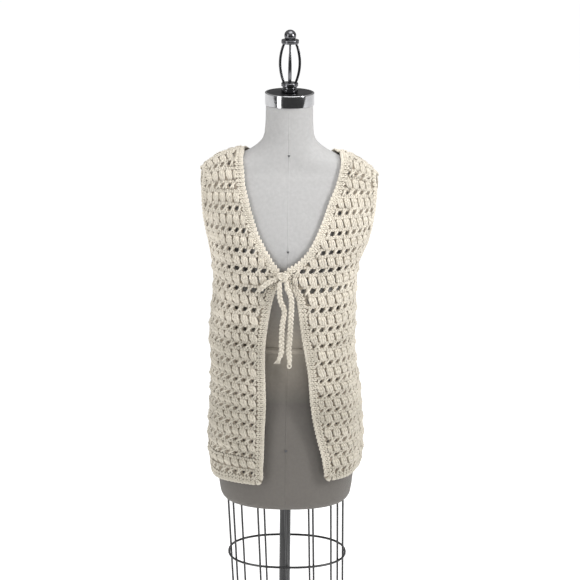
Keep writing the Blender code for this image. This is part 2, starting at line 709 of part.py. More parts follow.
def hem_border(cloth):
    grid = []
    for r in (0.0, cloth.row_at(VEST_ROWS[0][0] + BORDER)):
        start = cloth.front_length(r, cloth.value("edge_left", r)) + BORDER + SEAM
        stop = cloth.around(r) + cloth.front_length(r, -cloth.value("edge_right", r)) - BORDER - SEAM
        back = [back_place(cloth, c, r)[0] for c in back_columns(cloth)]
        fronts = spread(start, back[0], FRONT_COLUMNS), spread(back[-1], stop, FRONT_COLUMNS)
        row = fronts[0][:-1] + back + fronts[1][1:]
        grid.append([(s, r) for s in row])
    return wall("border_hem", cloth, grid)


def arm_border(cloth, left):
    """A closed band round the armhole: up its front edge, over the shoulder and down its back.
    Its outer points are those of the panels, a seam's gap away."""
    under = cloth.row_at(UNDERARM)
    lower = cloth.row_at(UNDERARM - ARM_BORDER)
    sign = 1 if left else -1
    rows = [r for r in panel_rows(cloth) if r > lower + 0.01][:-1]
    ups = [(r - lower) / (RIDGE - lower) for r in rows]
    path = [(0.0, 1)] + [(up, 1) for up in ups] + [(1.0, 1)] + [(up, -1) for up in reversed(ups)]
    points = []
    for up, way in path:
        inner_r = under + (RIDGE - under) * up
        outer_r = lower + (RIDGE - lower) * up
        inner = cloth.arm_reach(inner_r, way > 0, 0.0)
        outer = max(0.0, cloth.arm_reach(outer_r, way > 0, ARM_BORDER) - SEAM) if up else 0.0
        foot = max(0.0, ARM_WIDE - cloth.value("height", outer_r)) / (ARM_WIDE - UNDERARM + ARM_BORDER)
        for reach, r in ((inner, inner_r), (outer, outer_r + SEAM_LOW_R * foot)):
            points += cloth.pair(cloth.side(r, left) - sign * way * reach, r)
    count = len(path)
    faces = []
    for i in range(count):
        a, b = 4 * i, 4 * ((i + 1) % count)
        for j, k in ((0, 1), (1, 3), (3, 2), (2, 0)):
            faces.append((a + j, b + j, b + k, a + k))
    return add_solid("border_arm_left" if left else "border_arm_right", points, faces, "wool")


# ---- ties ----


def smooth_route(points, step):
    """Points about a step apart on a smooth curve through the route's own points."""
    points = [Vector(point) for point in points]
    dense = []
    for i in range(len(points) - 1):
        before = points[max(i - 1, 0)]
        after = points[min(i + 2, len(points) - 1)]
        for k in range(ROUTE_STEPS):
            u = k / ROUTE_STEPS
            dense.append(
                0.5 * (
                    2 * points[i]
                    + (points[i + 1] - before) * u
                    + (2 * before - 5 * points[i] + 4 * points[i + 1] - after) * u * u
                    + (3 * points[i] - before - 3 * points[i + 1] + after) * u**3
                )
            )
    dense.append(points[-1])
    lengths = [0.0]
    for a, b in zip(dense, dense[1:]):
        lengths.append(lengths[-1] + (b - a).length)
    count = max(2, round(lengths[-1] / step))
    even = [lengths[-1] * k / count for k in range(count + 1)]
    axes = [np.interp(even, lengths, [point[axis] for point in dense]) for axis in range(3)]
    return [Vector(map(float, point)) for point in zip(*axes)]


def cord_tube(name, route):
    curve = bpy.data.curves.new(name, "CURVE")
    curve.dimensions = "3D"
    curve.bevel_depth = CORD_R
    curve.bevel_resolution = 2
    curve.use_fill_caps = True
    spline = curve.splines.new("POLY")
    points = smooth_route(route, TUBE_STEP)
    spline.points.add(len(points) - 1)
    for spot, point in zip(spline.points, points):
        spot.co = (*point, 1)
    return add_object(name, curve, "wool")


def knot():
    """The lump that the two ties make, wider than it is deep."""
    x, y, z = KNOT_AT
    wide, deep, tall = KNOT_HALF
    rings = []
    for i in range(KNOT_LEVELS + 1):
        lift = KNOT_POLE * (2 * i / KNOT_LEVELS - 1)
        size = math.cos(lift)
        ring = []
        for turn in turn_angles(KNOT_SIDES):
            across, along = wide * size * math.cos(turn), deep * size * math.sin(turn)
            ring.append((x + across, y + along, z + tall * math.sin(lift)))
        rings.append(ring)
    points, faces = loft(rings)
    return add_solid("tie_knot", points, faces, "wool")


def strap(cloth):
    """The stretch of tie that lies on the right front, its route the panel's points moved out."""
    route = []
    for row in STRAP_ROUTE:
        spot = dict(zip(STRAP_COLUMNS, row))
        r = cloth.row_at(spot["height"])
        s = cloth.front_length(r, -spot["out"])
        outer, _ = cloth.pair(s, r)
        route.append(outer + cloth.out(s, r) * (CORD_R + 2 * GAP))
    return cord_tube("tie_strap", route)


def build():
    for old in list(bpy.data.objects):
        bpy.data.objects.remove(old)
    rings = torso_rings()
    torso_points, torso_faces = loft(rings)
    add_solid("form_torso", torso_points, torso_faces, "linen")
    torso_bottom, torso_top = TORSO_ROWS[0][0], TORSO_ROWS[-1][0]
    cap_at = torso_top + GAP
    cap = [
        (CAP_R, cap_at), (CAP_R, cap_at + CAP_H - CAP_EDGE), (CAP_R - CAP_EDGE, cap_at + CAP_H),
    ]
    turned("form_neck_cap", cap, CAP_SIDES, "chrome")
    finial(cap_at + CAP_H + GAP)
    hip_cage(torso_bottom)
    stand(torso_bottom)

    cloth = Cloth(BVHTree.FromPolygons([Vector(point) for point in torso_points], torso_faces))
    for left in (False, True):
        front_panel(cloth, left)
        front_border(cloth, left)
        arm_border(cloth, left)
    back_panel(cloth)
    back_neck_border(cloth)
    hem_border(cloth)
    knot()
    strap(cloth)
    cord_tube("tie_end_short", SHORT_ROUTE)
    cord_tube("tie_end_long", LONG_ROUTE)


build()
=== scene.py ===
import json
import math

import bmesh
import bpy
import numpy as np
from mathutils import Matrix, Vector
from mathutils.bvhtree import BVHTree

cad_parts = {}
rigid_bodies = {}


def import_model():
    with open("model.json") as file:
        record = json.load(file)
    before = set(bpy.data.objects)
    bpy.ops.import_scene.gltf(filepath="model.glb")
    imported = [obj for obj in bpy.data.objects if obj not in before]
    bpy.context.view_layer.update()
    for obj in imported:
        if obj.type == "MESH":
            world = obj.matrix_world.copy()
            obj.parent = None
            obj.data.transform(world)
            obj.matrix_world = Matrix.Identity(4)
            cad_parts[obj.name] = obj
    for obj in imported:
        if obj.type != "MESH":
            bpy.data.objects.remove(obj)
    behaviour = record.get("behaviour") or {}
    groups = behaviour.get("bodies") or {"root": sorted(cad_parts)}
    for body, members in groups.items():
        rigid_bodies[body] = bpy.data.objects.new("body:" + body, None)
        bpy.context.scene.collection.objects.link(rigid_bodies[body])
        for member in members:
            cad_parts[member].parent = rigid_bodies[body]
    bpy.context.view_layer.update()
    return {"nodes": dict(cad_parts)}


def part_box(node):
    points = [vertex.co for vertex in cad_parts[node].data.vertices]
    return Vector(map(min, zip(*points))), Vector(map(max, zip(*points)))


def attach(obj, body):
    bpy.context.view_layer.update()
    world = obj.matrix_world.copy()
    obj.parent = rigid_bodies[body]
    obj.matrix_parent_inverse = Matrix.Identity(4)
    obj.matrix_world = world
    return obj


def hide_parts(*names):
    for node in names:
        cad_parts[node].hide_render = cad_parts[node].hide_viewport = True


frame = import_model()
scene = bpy.context.scene
body = "root"


# where the camera stands, how far it looks down and leans, and its lens
cameraLook = {"place": (0.005, -4.8, 2.385), "pitch": 15.27, "roll": 0.62, "lens": 150.4, "sensor": 36.0}


def makeCamera():
    pitch = math.radians(cameraLook["pitch"])
    roll = math.radians(cameraLook["roll"])
    forward = Vector((0, math.cos(pitch), -math.sin(pitch)))
    upright = Vector((0, math.sin(pitch), math.cos(pitch)))
    level = Vector((1, 0, 0))
    right = level * math.cos(roll) + upright * math.sin(roll)
    up = upright * math.cos(roll) - level * math.sin(roll)
    data = bpy.data.cameras.new("camera")
    data.lens = cameraLook["lens"]
    data.sensor_width = cameraLook["sensor"]
    camera = bpy.data.objects.new("camera", data)
    turn = Matrix((right, up, -forward)).transposed().to_4x4()
    turn.translation = cameraLook["place"]
    camera.matrix_world = turn
    scene.collection.objects.link(camera)
    scene.camera = camera


makeCamera()
print("camera placed")


def newGroup(name, inputs, outputs):
    group = bpy.data.node_groups.new(name, "ShaderNodeTree")
    for label, kind, value in inputs:
        socket = group.interface.new_socket(label, in_out="INPUT", socket_type=kind)
        socket.default_value = value
    for label, kind in outputs:
        group.interface.new_socket(label, in_out="OUTPUT", socket_type=kind)
    return group, group.nodes.new("NodeGroupInput"), group.nodes.new("NodeGroupOutput")


def feed(tree, socket, value):
    if hasattr(value, "node"):
        tree.links.new(value, socket)
    elif value is not None:
        socket.default_value = value


def addMath(tree, operation, first, second=None):
    node = tree.nodes.new("ShaderNodeMath")
    node.operation = operation
    feed(tree, node.inputs[0], first)
    feed(tree, node.inputs[1], second)
    return node.outputs[0]


def addNoise(tree, where, scale, detail):
    node = tree.nodes.new("ShaderNodeTexNoise")
    node.inputs["Detail"].default_value = detail
    feed(tree, node.inputs["Vector"], where)
    feed(tree, node.inputs["Scale"], scale)
    return node.outputs["Fac"]


def addMix(tree, factor, first, second):
    node = tree.nodes.new("ShaderNodeMix")
    node.data_type = "RGBA"
    feed(tree, node.inputs[0], factor)
    feed(tree, node.inputs[6], first)
    feed(tree, node.inputs[7], second)
    return node.outputs[2]


def addRange(tree, value, fromLow, fromHigh, toLow=0.0, toHigh=1.0):
    node = tree.nodes.new("ShaderNodeMapRange")
    feed(tree, node.inputs["Value"], value)
    ends = {"From Min": fromLow, "From Max": fromHigh, "To Min": toLow, "To Max": toHigh}
    for label, number in ends.items():
        feed(tree, node.inputs[label], number)
    return node.outputs["Result"]


def makeWeave():
    # plain weave: crossed threads that take turns on top, as a height
    group, start, end = newGroup(
        "plainWeave",
        (("Place", "NodeSocketVector", (0, 0, 0)), ("Threads", "NodeSocketFloat", 1400.0)),
        (("Height", "NodeSocketFloat"), ("Slub", "NodeSocketFloat")),
    )
    split = group.nodes.new("ShaderNodeSeparateXYZ")
    feed(group, split.inputs[0], start.outputs["Place"])
    level = addMath(group, "ADD", split.outputs[0], split.outputs[1])
    across = addMath(group, "MULTIPLY", level, start.outputs["Threads"])
    along = addMath(group, "MULTIPLY", split.outputs[2], start.outputs["Threads"])
    warp = addMath(group, "ABSOLUTE", addMath(group, "SINE", across))
    weft = addMath(group, "ABSOLUTE", addMath(group, "SINE", along))
    feed(group, end.inputs["Height"], addMath(group, "MULTIPLY", addMath(group, "ADD", warp, weft), 0.5))
    feed(group, end.inputs["Slub"], addNoise(group, start.outputs["Place"], 160.0, 4.0))
    return group


def makePly():
    # plied yarn: slanting plies along a strand, with loose fibres over them
    group, start, end = newGroup(
        "pliedYarn",
        (
            ("Along", "NodeSocketVector", (0, 0, 0)), ("Place", "NodeSocketVector", (0, 0, 0)),
            ("Lay", "NodeSocketFloat", 0.012), ("Plies", "NodeSocketFloat", 4.0),
        ),
        (("Height", "NodeSocketFloat"), ("Fibre", "NodeSocketFloat")),
    )
    split = group.nodes.new("ShaderNodeSeparateXYZ")
    feed(group, split.inputs[0], start.outputs["Along"])
    turns = addMath(group, "DIVIDE", split.outputs[0], start.outputs["Lay"])
    twist = addMath(group, "ADD", turns, split.outputs[1])
    angle = addMath(group, "MULTIPLY", twist, start.outputs["Plies"])
    wave = addMath(group, "ABSOLUTE", addMath(group, "SINE", addMath(group, "MULTIPLY", angle, math.pi)))
    fibre = addNoise(group, start.outputs["Place"], 1800.0, 4.0)
    plies = addMath(group, "MULTIPLY", wave, 0.7)
    height = addMath(group, "ADD", plies, addMath(group, "MULTIPLY", fibre, 0.5))
    feed(group, end.inputs["Height"], height)
    feed(group, end.inputs["Fibre"], fibre)
    return group


def makeWear():
    # soft smudges and fine scratches for hard finishes
    group, start, end = newGroup(
        "handledFinish",
        (("Place", "NodeSocketVector", (0, 0, 0)), ("Fine", "NodeSocketFloat", 900.0)),
        (("Smudge", "NodeSocketFloat"), ("Grain", "NodeSocketFloat")),
    )
    feed(group, end.inputs["Smudge"], addNoise(group, start.outputs["Place"], 28.0, 5.0))
    feed(group, end.inputs["Grain"], addNoise(group, start.outputs["Place"], start.outputs["Fine"], 2.0))
    return group


weaveGroup = makeWeave()
plyGroup = makePly()
wearGroup = makeWear()


def newMaterial(name):
    made = bpy.data.materials.new(name)
    made.use_nodes = True
    tree = made.node_tree
    shader = tree.nodes["Principled BSDF"]
    place = tree.nodes.new("ShaderNodeTexCoord").outputs["Object"]
    return made, tree, shader, place


def useGroup(tree, group, **values):
    node = tree.nodes.new("ShaderNodeGroup")
    node.node_tree = group
    for label, value in values.items():
        feed(tree, node.inputs[label], value)
    return node


def addBump(tree, shader, height, distance):
    bump = tree.nodes.new("ShaderNodeBump")
    bump.inputs["Distance"].default_value = distance
    bump.inputs["Strength"].default_value = 1.0
    feed(tree, bump.inputs["Height"], height)
    feed(tree, shader.inputs["Normal"], bump.outputs["Normal"])


woolLook = {
    "crown": (0.87, 0.805, 0.69, 1), "hollow": (0.20, 0.155, 0.105, 1), "faded": (0.60, 0.555, 0.465, 1),
    "patches": 14.0, "lay": 0.011, "plies": 4.0, "roughness": 0.93, "sheen": 0.25, "sheenRoughness": 0.6,
    "specular": 0.25, "bump": 0.0006, "fuzz": 0.08, "fadeHeights": (1.20, 0.88), "fadeLow": 0.65,
    "fadePatch": 0.45,
}


def makeWool():
    made, tree, shader, place = newMaterial("creamWool")
    uv = tree.nodes.new("ShaderNodeTexCoord").outputs["UV"]
    ply = useGroup(tree, plyGroup, Along=uv, Place=place, Lay=woolLook["lay"], Plies=woolLook["plies"])
    crown = tree.nodes.new("ShaderNodeAttribute")
    crown.attribute_name = "crown"
    split = tree.nodes.new("ShaderNodeSeparateXYZ")
    feed(tree, split.inputs[0], place)
    # painted shade: the yarn is coloured darker low down, where less light falls, and also duller in random
    # patches
    low = addRange(tree, split.outputs[2], *woolLook["fadeHeights"])
    patches = addNoise(tree, place, woolLook["patches"], 4.0)
    patch = addRange(tree, patches, 0.35, 0.65, 0.0, woolLook["fadePatch"])
    lowShadeAndPatches = addMath(tree, "ADD", addMath(tree, "MULTIPLY", low, woolLook["fadeLow"]), patch)
    lowShadeAndPatches = addMath(tree, "MINIMUM", lowShadeAndPatches, 1.0)
    light = addMix(tree, lowShadeAndPatches, woolLook["crown"], woolLook["faded"])
    fuzz = addRange(tree, ply.outputs["Fibre"], 0.3, 0.7, -woolLook["fuzz"], woolLook["fuzz"])
    # painted shade: where the crown is low, the yarn takes the dark hollow colour, which stands for shade
    # in crevices and under crossings
    lift = addRange(tree, addMath(tree, "ADD", crown.outputs["Fac"], fuzz), 0.0, 0.75)
    feed(tree, shader.inputs["Base Color"], addMix(tree, lift, woolLook["hollow"], light))
    shader.inputs["Roughness"].default_value = woolLook["roughness"]
    shader.inputs["Sheen Weight"].default_value = woolLook["sheen"]
    shader.inputs["Sheen Roughness"].default_value = woolLook["sheenRoughness"]
    shader.inputs["Specular IOR Level"].default_value = woolLook["specular"]
    addBump(tree, shader, ply.outputs["Height"], woolLook["bump"])
    return made


linenLook = {
    "chest": (0.51, 0.505, 0.50, 1), "waist": (0.50, 0.45, 0.375, 1), "hip": (0.150, 0.138, 0.124, 1),
    "upperHeights": (1.13, 0.985), "lowerHeights": (0.985, 0.86), "slubShade": 0.90,
    "threads": 2600.0, "smoothest": 0.78, "roughness": 0.86, "sheen": 0.10, "bump": 0.00025,
}


def makeLinen(name, lighter):
    made, tree, shader, place = newMaterial(name)
    weave = useGroup(tree, weaveGroup, Place=place, Threads=linenLook["threads"])
    split = tree.nodes.new("ShaderNodeSeparateXYZ")
    feed(tree, split.inputs[0], place)
    # painted light and shade: the linen is coloured warmer towards the waist, for light bounced off the
    # cream wool, and much darker towards the hip, for the vest's shadow and the light falling off; the
    # waist tape gets the same
    chest, waist, hip = (
        tuple(lighter * part for part in linenLook[label][:3]) + (1,) for label in ("chest", "waist", "hip")
    )
    upper = addMix(tree, addRange(tree, split.outputs[2], *linenLook["upperHeights"]), chest, waist)
    tone = addMix(tree, addRange(tree, split.outputs[2], *linenLook["lowerHeights"]), upper, hip)
    slub = addRange(tree, weave.outputs["Slub"], 0.35, 0.75, linenLook["slubShade"], 1.0)
    shade = addMix(tree, slub, (0.0, 0.0, 0.0, 1), tone)
    feed(tree, shader.inputs["Base Color"], shade)
    rough = addRange(tree, weave.outputs["Slub"], 0.2, 0.8, linenLook["smoothest"], linenLook["roughness"])
    feed(tree, shader.inputs["Roughness"], rough)
    shader.inputs["Sheen Weight"].default_value = linenLook["sheen"]
    height = addMath(tree, "ADD", weave.outputs["Height"], weave.outputs["Slub"])
    addBump(tree, shader, height, linenLook["bump"])
    return made


handled = {"smudged": 0.8, "duller": 0.10, "grain": 0.00008}


def makeMetal(name, color, roughness, metallic, fine, coat=0.0):
    made, tree, shader, place = newMaterial(name)
    wear = useGroup(tree, wearGroup, Place=place, Fine=fine)
    dull = tuple(handled["smudged"] * part for part in color[:3]) + (1,)
    smudge = addRange(tree, wear.outputs["Smudge"], 0.4, 0.7)
    feed(tree, shader.inputs["Base Color"], addMix(tree, smudge, color, dull))
    rough = addRange(tree, wear.outputs["Smudge"], 0.3, 0.7, roughness, roughness + handled["duller"])
    feed(tree, shader.inputs["Roughness"], rough)
    shader.inputs["Metallic"].default_value = metallic
    shader.inputs["Coat Weight"].default_value = coat
    addBump(tree, shader, wear.outputs["Grain"], handled["grain"])
    return made


wool = makeWool()
linen = makeLinen("greyLinen", 1.0)
tape = makeLinen("waistTape", 1.12)
markPaint = makeMetal("markPaint", (0.10, 0.10, 0.11, 1), 0.6, 0.0, 700.0)
chrome = makeMetal("chromeCap", (0.62, 0.62, 0.63, 1), 0.07, 1.0, 300.0)
brushed = makeMetal("brushedTop", (0.045, 0.045, 0.048, 1), 0.38, 1.0, 1500.0)
darkSteel = makeMetal("darkSteel", (0.17, 0.17, 0.18, 1), 0.17, 1.0, 900.0)
blackEnamel = makeMetal("blackEnamel", (0.012, 0.012, 0.013, 1), 0.38, 0.0, 500.0, 0.25)
print("materials made")


def addPiece(name, points, faces, material, turnOut=True):
    mesh = bpy.data.meshes.new(name)
    mesh.from_pydata([tuple(point) for point in points], [], faces)
    if turnOut:
        work = bmesh.new()
        work.from_mesh(mesh)
        bmesh.ops.remove_doubles(work, verts=work.verts, dist=1e-6)
        bmesh.ops.recalc_face_normals(work, faces=work.faces)
        work.to_mesh(mesh)
        work.free()
    mesh.shade_smooth()
    mesh.materials.append(material)
    piece = bpy.data.objects.new(name, mesh)
    scene.collection.objects.link(piece)
    return piece


def settle(piece, slot, *replaced):
    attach(piece, body)
    if replaced:
        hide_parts(*replaced)
    return piece


def smoothRoute(points, step):
    # points about a step apart on a smooth curve through the route's own points
    points = [Vector(point) for point in points]
    dense = []
    for i in range(len(points) - 1):
        before = points[max(i - 1, 0)]
        after = points[min(i + 2, len(points) - 1)]
        a, b = points[i], points[i + 1]
        for k in range(12):
            u = k / 12
            square = (2 * before - 5 * a + 4 * b - after) * u * u
            cube = (3 * a - before - 3 * b + after) * u**3
            dense.append(0.5 * (2 * a + (b - before) * u + square + cube))
    dense.append(points[-1])
    lengths = [0.0]
    for a, b in zip(dense, dense[1:]):
        lengths.append(lengths[-1] + (b - a).length)
    count = max(2, round(lengths[-1] / step))
    even = [lengths[-1] * k / count for k in range(count + 1)]
    columns = [[point[axis] for point in dense] for axis in range(3)]
    return [Vector([float(np.interp(s, lengths, column)) for column in columns]) for s in even]


class StrandMesh:
    # gathers strands of yarn into one mesh, each with its length and turn in the UV map

    def __init__(self, sides):
        self.sides = sides
        self.points, self.faces, self.uvs, self.crowns = [], [], [], []

    def strand(self, path, radii, crowns, facing=None, closed=False):
        sides, count = self.sides, len(path)
        start = len(self.points)
        path = [Vector(point) for point in path]
        lengths = [0.0]
        for a, b in zip(path, path[1:]):
            lengths.append(lengths[-1] + (b - a).length)
        for k, point in enumerate(path):
            before = path[k - 1] if k or closed else path[0]
            after = path[(k + 1) % count] if k + 1 < count or closed else path[-1]
            along = (after - before).normalized()
            up = Vector(facing[k]) if facing else Vector((0, 0, 1))
            side = along.cross(up).normalized()
            up = side.cross(along)
            for j in range(sides):
                turn = 2 * math.pi * j / sides
                ring = side * math.cos(turn) + up * math.sin(turn)
                self.points.append(point + ring * radii[k])
                # painted shade: each strand's underside gets a lower crown, so it is coloured darker than
                # its top
                self.crowns.append(crowns[k] + 0.18 * math.sin(turn))
        spans = count if closed else count - 1
        for k in range(spans):
            low, high = start + k * sides, start + (k + 1) % count * sides
            far = lengths[k + 1] if k + 1 < count else lengths[k] + (path[0] - path[k]).length
            for j in range(sides):
                step = (j + 1) % sides
                self.faces.append((low + j, high + j, high + step, low + step))
                v, w = j / sides, (j + 1) / sides
                self.uvs += [(lengths[k], v), (far, v), (far, w), (lengths[k], w)]
        if closed:
            return
        for k, way in ((0, -1), (count - 1, 1)):
            tip = len(self.points)
            along = (path[1] - path[0]) if k == 0 else (path[-1] - path[-2])
            self.points.append(path[k] + along.normalized() * way * radii[k] * 0.8)
            # painted shade: the tips get a lower crown, so they are coloured darker where they tuck in
            self.crowns.append(crowns[k] - 0.1)
            for j in range(sides):
                a, b = start + k * sides + j, start + k * sides + (j + 1) % sides
                self.faces.append((a, b, tip) if way < 0 else (b, a, tip))
                v, w = (j / sides, (j + 1) / sides) if way < 0 else ((j + 1) / sides, j / sides)
                self.uvs += [(lengths[k], v), (lengths[k], w), (lengths[k], (v + w) / 2)]

    def build(self, name, material):
        mesh = bpy.data.meshes.new(name)
        mesh.from_pydata([tuple(point) for point in self.points], [], self.faces)
        layer = mesh.uv_layers.new(name="UVMap")
        layer.data.foreach_set("uv", np.array(self.uvs, float).ravel())
        crown = mesh.attributes.new("crown", "FLOAT", "POINT")
        crown.data.foreach_set("value", np.clip(np.array(self.crowns, float), 0, 1))
        mesh.shade_smooth()
        mesh.materials.append(material)
        piece = bpy.data.objects.new(name, mesh)
        scene.collection.objects.link(piece)
        return piece


tieLook = {
    "diameter": 0.010, "strand": 0.0026, "swing": 0.0034, "depth": 0.0017, "braid": 0.026, "step": 0.0018,
    "knotAt": (-0.0085, -0.1303, 1.1365), "knotHalf": (0.0086, 0.0036, 0.0058), "knotSteps": 60,
    "loop": (0.0034, 0.0008, 0.0046), "strapLift": 0.0062, "strapTuck": 0.004,
    "straps": ((1.1322, 0.0200), (1.1285, 0.0290), (1.1225, 0.0390), (1.1145, 0.0480), (1.1050, 0.0560)),
}
shortRoute = (
    (-0.0152, -0.1308, 1.1271), (-0.0160, -0.1322, 1.1150), (-0.0158, -0.1330, 1.1030),
    (-0.0150, -0.1322, 1.0930), (-0.0112, -0.1316, 1.0810), (-0.0062, -0.1312, 1.0700),
    (-0.0058, -0.1310, 1.0590), (-0.0080, -0.1309, 1.0470), (-0.0096, -0.1308, 1.0340),
    (-0.0104, -0.1306, 1.0200), (-0.0108, -0.1304, 1.0060), (-0.0106, -0.1302, 0.9930),
    (-0.0108, -0.1300, 0.9820), (-0.0134, -0.1299, 0.9715), (-0.0168, -0.1298, 0.9630),
)
longRoute = (
    (-0.0026, -0.1308, 1.1271), (-0.0012, -0.1328, 1.1160), (0.0036, -0.1342, 1.1060),
    (0.0072, -0.1340, 1.0960), (0.0084, -0.1336, 1.0850), (0.0084, -0.1330, 1.0720),
    (0.0078, -0.1326, 1.0580), (0.0070, -0.1322, 1.0430), (0.0064, -0.1318, 1.0280),
    (0.0058, -0.1314, 1.0140), (0.0050, -0.1312, 1.0000), (0.0038, -0.1310, 0.9870),
    (0.0046, -0.1308, 0.9750), (0.0056, -0.1306, 0.9640), (0.0054, -0.1304, 0.9550),
)


def braid(mesh, route, facing, phase=0.0, size=1.0, closed=False):
    # three strands that cross in turn along the route
    count = len(route)
    lengths = [0.0]
    for a, b in zip(route, route[1:]):
        lengths.append(lengths[-1] + (b - a).length)
    total = lengths[-1] + ((route[0] - route[-1]).length if closed else 0.0)
    turns = total / tieLook["braid"]
    if closed:
        turns = max(1, round(turns))
    for strand in range(3):
        path, crowns = [], []
        for k, point in enumerate(route):
            after = route[(k + 1) % count] if closed or k + 1 < count else route[k]
            before = route[k - 1] if closed or k else route[0]
            along = (after - before).normalized()
            side = along.cross(Vector(facing[k])).normalized()
            out = side.cross(along)
            turn = 2 * math.pi * (turns * lengths[k] / total + strand / 3) + phase
            lift = math.sin(2 * turn)
            taper = 1.0 if closed else min(1.0, 0.45 + 6 * min(k, count - 1 - k) / count)
            sway = side * tieLook["swing"] * math.sin(turn) + out * tieLook["depth"] * lift
            path.append(point + sway * size * taper)
            # painted shade: a strand is coloured darker where it passes under the others
            crowns.append(0.55 + 0.2 * lift)
        mesh.strand(path, [tieLook["strand"] * size] * count, crowns, facing, closed)


def tieEnd(name, points, node, tip):
    route = smoothRoute(points, tieLook["step"])
    facing = [Vector((0, -1, 0))] * len(route)
    mesh = StrandMesh(8)
    braid(mesh, route, facing)
    piece = mesh.build(name, wool)
    settle(piece, "wool", node)
    end = tip(name + "Tip", route[-1], (route[-1] - route[-2]).normalized())
    settle(end, "wool")


def frayedTip(name, at, along):
    # the strands let go below the last crossing and fan out
    mesh = StrandMesh(5)
    side = Vector((1, 0, 0))
    for k in range(9):
        fan = (k - 4) / 4
        lean = 0.25 * math.sin(2.4 * k + 0.5)
        path = []
        for step in range(4):
            u = step / 3
            point = at + along * (0.010 * u - 0.002) + side * (0.0020 * fan + 0.0042 * fan * u)
            path.append(point + Vector((0, -1, 0)) * (0.0016 * lean + 0.003 * lean * u))
        radii = [0.0013, 0.0012, 0.0010, 0.0006]
        mesh.strand(path, radii, [0.5, 0.55, 0.6, 0.6], [Vector((0, -1, 0))] * 4)
    return mesh.build(name, wool)


def loopTip(name, at, along):
    # the last chain is left as a small ring
    mesh = StrandMesh(6)
    wide, deep, tall = tieLook["loop"]
    middle = at + along * 0.0036
    steps = 14
    path = []
    for k in range(steps):
        turn = 2 * math.pi * k / steps
        ring = Vector((wide * math.cos(turn), -deep * math.sin(2 * turn), tall * math.sin(turn)))
        path.append(middle + ring)
    mesh.strand(path, [0.0018] * steps, [0.6] * steps, [Vector((0, -1, 0))] * steps, True)
    return mesh.build(name, wool)


def tieKnot():
    # one cord doubled through itself, as three lobes seen from the front
    at, half = Vector(tieLook["knotAt"]), tieLook["knotHalf"]
    route = []
    steps = tieLook["knotSteps"]
    for k in range(steps):
        t = 2 * math.pi * k / steps
        x = (math.sin(t) + 2 * math.sin(2 * t)) / 2.7
        z = (math.cos(t) - 2 * math.cos(2 * t)) / 2.7
        route.append(at + Vector((half[0] * x, half[1] * math.sin(3 * t), half[2] * z)))
    mesh = StrandMesh(8)
    braid(mesh, route, [Vector((0.05, -1, 0.1))] * steps, 0.4, 0.80, True)
    return settle(mesh.build("tieKnot", wool), "wool", "tie_knot")


tieEnd("shortTie", shortRoute, "tie_end_short", frayedTip)
tieEnd("longTie", longRoute, "tie_end_long", loopTip)
tieKnot()
print("ties braided")


# rings of the cloth from the hem up to the shoulder ridge
vestColumns = ("height", "tilt", "drop", "right", "left", "front", "back", "edgeRight", "edgeLeft")
vestRings = (
    (0.6975, 0.0070, 0.0000, 0.1540, 0.1545, 0.1310, 0.1250, 0.0470, 0.0815),
    (0.7250, 0.0040, 0.0000, 0.1595, 0.1600, 0.1315, 0.1255, 0.0470, 0.0790),
    (0.7600, 0.0000, 0.0000, 0.1620, 0.1605, 0.1315, 0.1250, 0.0458, 0.0730),
    (0.8100, 0.0000, 0.0000, 0.1605, 0.1580, 0.1305, 0.1235, 0.0445, 0.0600),
    (0.8700, 0.0000, 0.0000, 0.1570, 0.1525, 0.1290, 0.1200, 0.0425, 0.0495),
    (0.9300, 0.0000, 0.0000, 0.1570, 0.1430, 0.1270, 0.1165, 0.0445, 0.0442),
    (0.9750, 0.0000, 0.0000, 0.1600, 0.1395, 0.1255, 0.1140, 0.0450, 0.0365),
    (1.0350, 0.0000, 0.0000, 0.1570, 0.1400, 0.1245, 0.1120, 0.0392, 0.0262),
    (1.0900, 0.0000, 0.0000, 0.1525, 0.1410, 0.1230, 0.1110, 0.0285, 0.0180),
    (1.1350, 0.0000, 0.0000, 0.1545, 0.1450, 0.1220, 0.1100, 0.0142, -0.0098),
    (1.1620, 0.0000, 0.0000, 0.1590, 0.1540, 0.1205, 0.1095, 0.0297, 0.0215),
    (1.1880, 0.0000, 0.0000, 0.1660, 0.1660, 0.1170, 0.1090, 0.0450, 0.0430),
    (1.2150, 0.0000, 0.0008, 0.1735, 0.1740, 0.1105, 0.1090, 0.0590, 0.0570),
    (1.2450, 0.0000, 0.0025, 0.1800, 0.1810, 0.1010, 0.1080, 0.0700, 0.0700),
    (1.2780, 0.0000, 0.0060, 0.1840, 0.1860, 0.0885, 0.1040, 0.0800, 0.0815),
    (1.3100, -0.0015, 0.0125, 0.1850, 0.1880, 0.0720, 0.0960, 0.0875, 0.0945),
    (1.3382, -0.0028, 0.0225, 0.1835, 0.1865, 0.0535, 0.0800, 0.0900, 0.1010),
    (1.3566, -0.0035, 0.0305, 0.1815, 0.1840, 0.0360, 0.0600, 0.0905, 0.1030),
    (1.3682, -0.0035, 0.0358, 0.1800, 0.1820, 0.0170, 0.0370, 0.0905, 0.1035),
    (1.3720, -0.0035, 0.0377, 0.1790, 0.1810, -0.0050, 0.0050, 0.0905, 0.1035),
)
ridge = len(vestRings) - 1

# hanging folds: place round the ring, width in degrees, depth outwards, heights where it starts and is full
foldColumns = ("angle", "width", "depth", "starts", "full")
folds = (
    (-62, 15, 0.0035, 1.06, 0.80),
    (-36, 12, -0.0025, 1.00, 0.76),
    (48, 13, 0.0030, 1.02, 0.82),
    (70, 12, -0.0025, 0.98, 0.78),
    (128, 16, 0.0035, 1.08, 0.80),
    (160, 14, -0.0030, 1.12, 0.84),
    (-165, 13, 0.0030, 1.05, 0.78),
    (-130, 15, -0.0030, 1.10, 0.82),
)

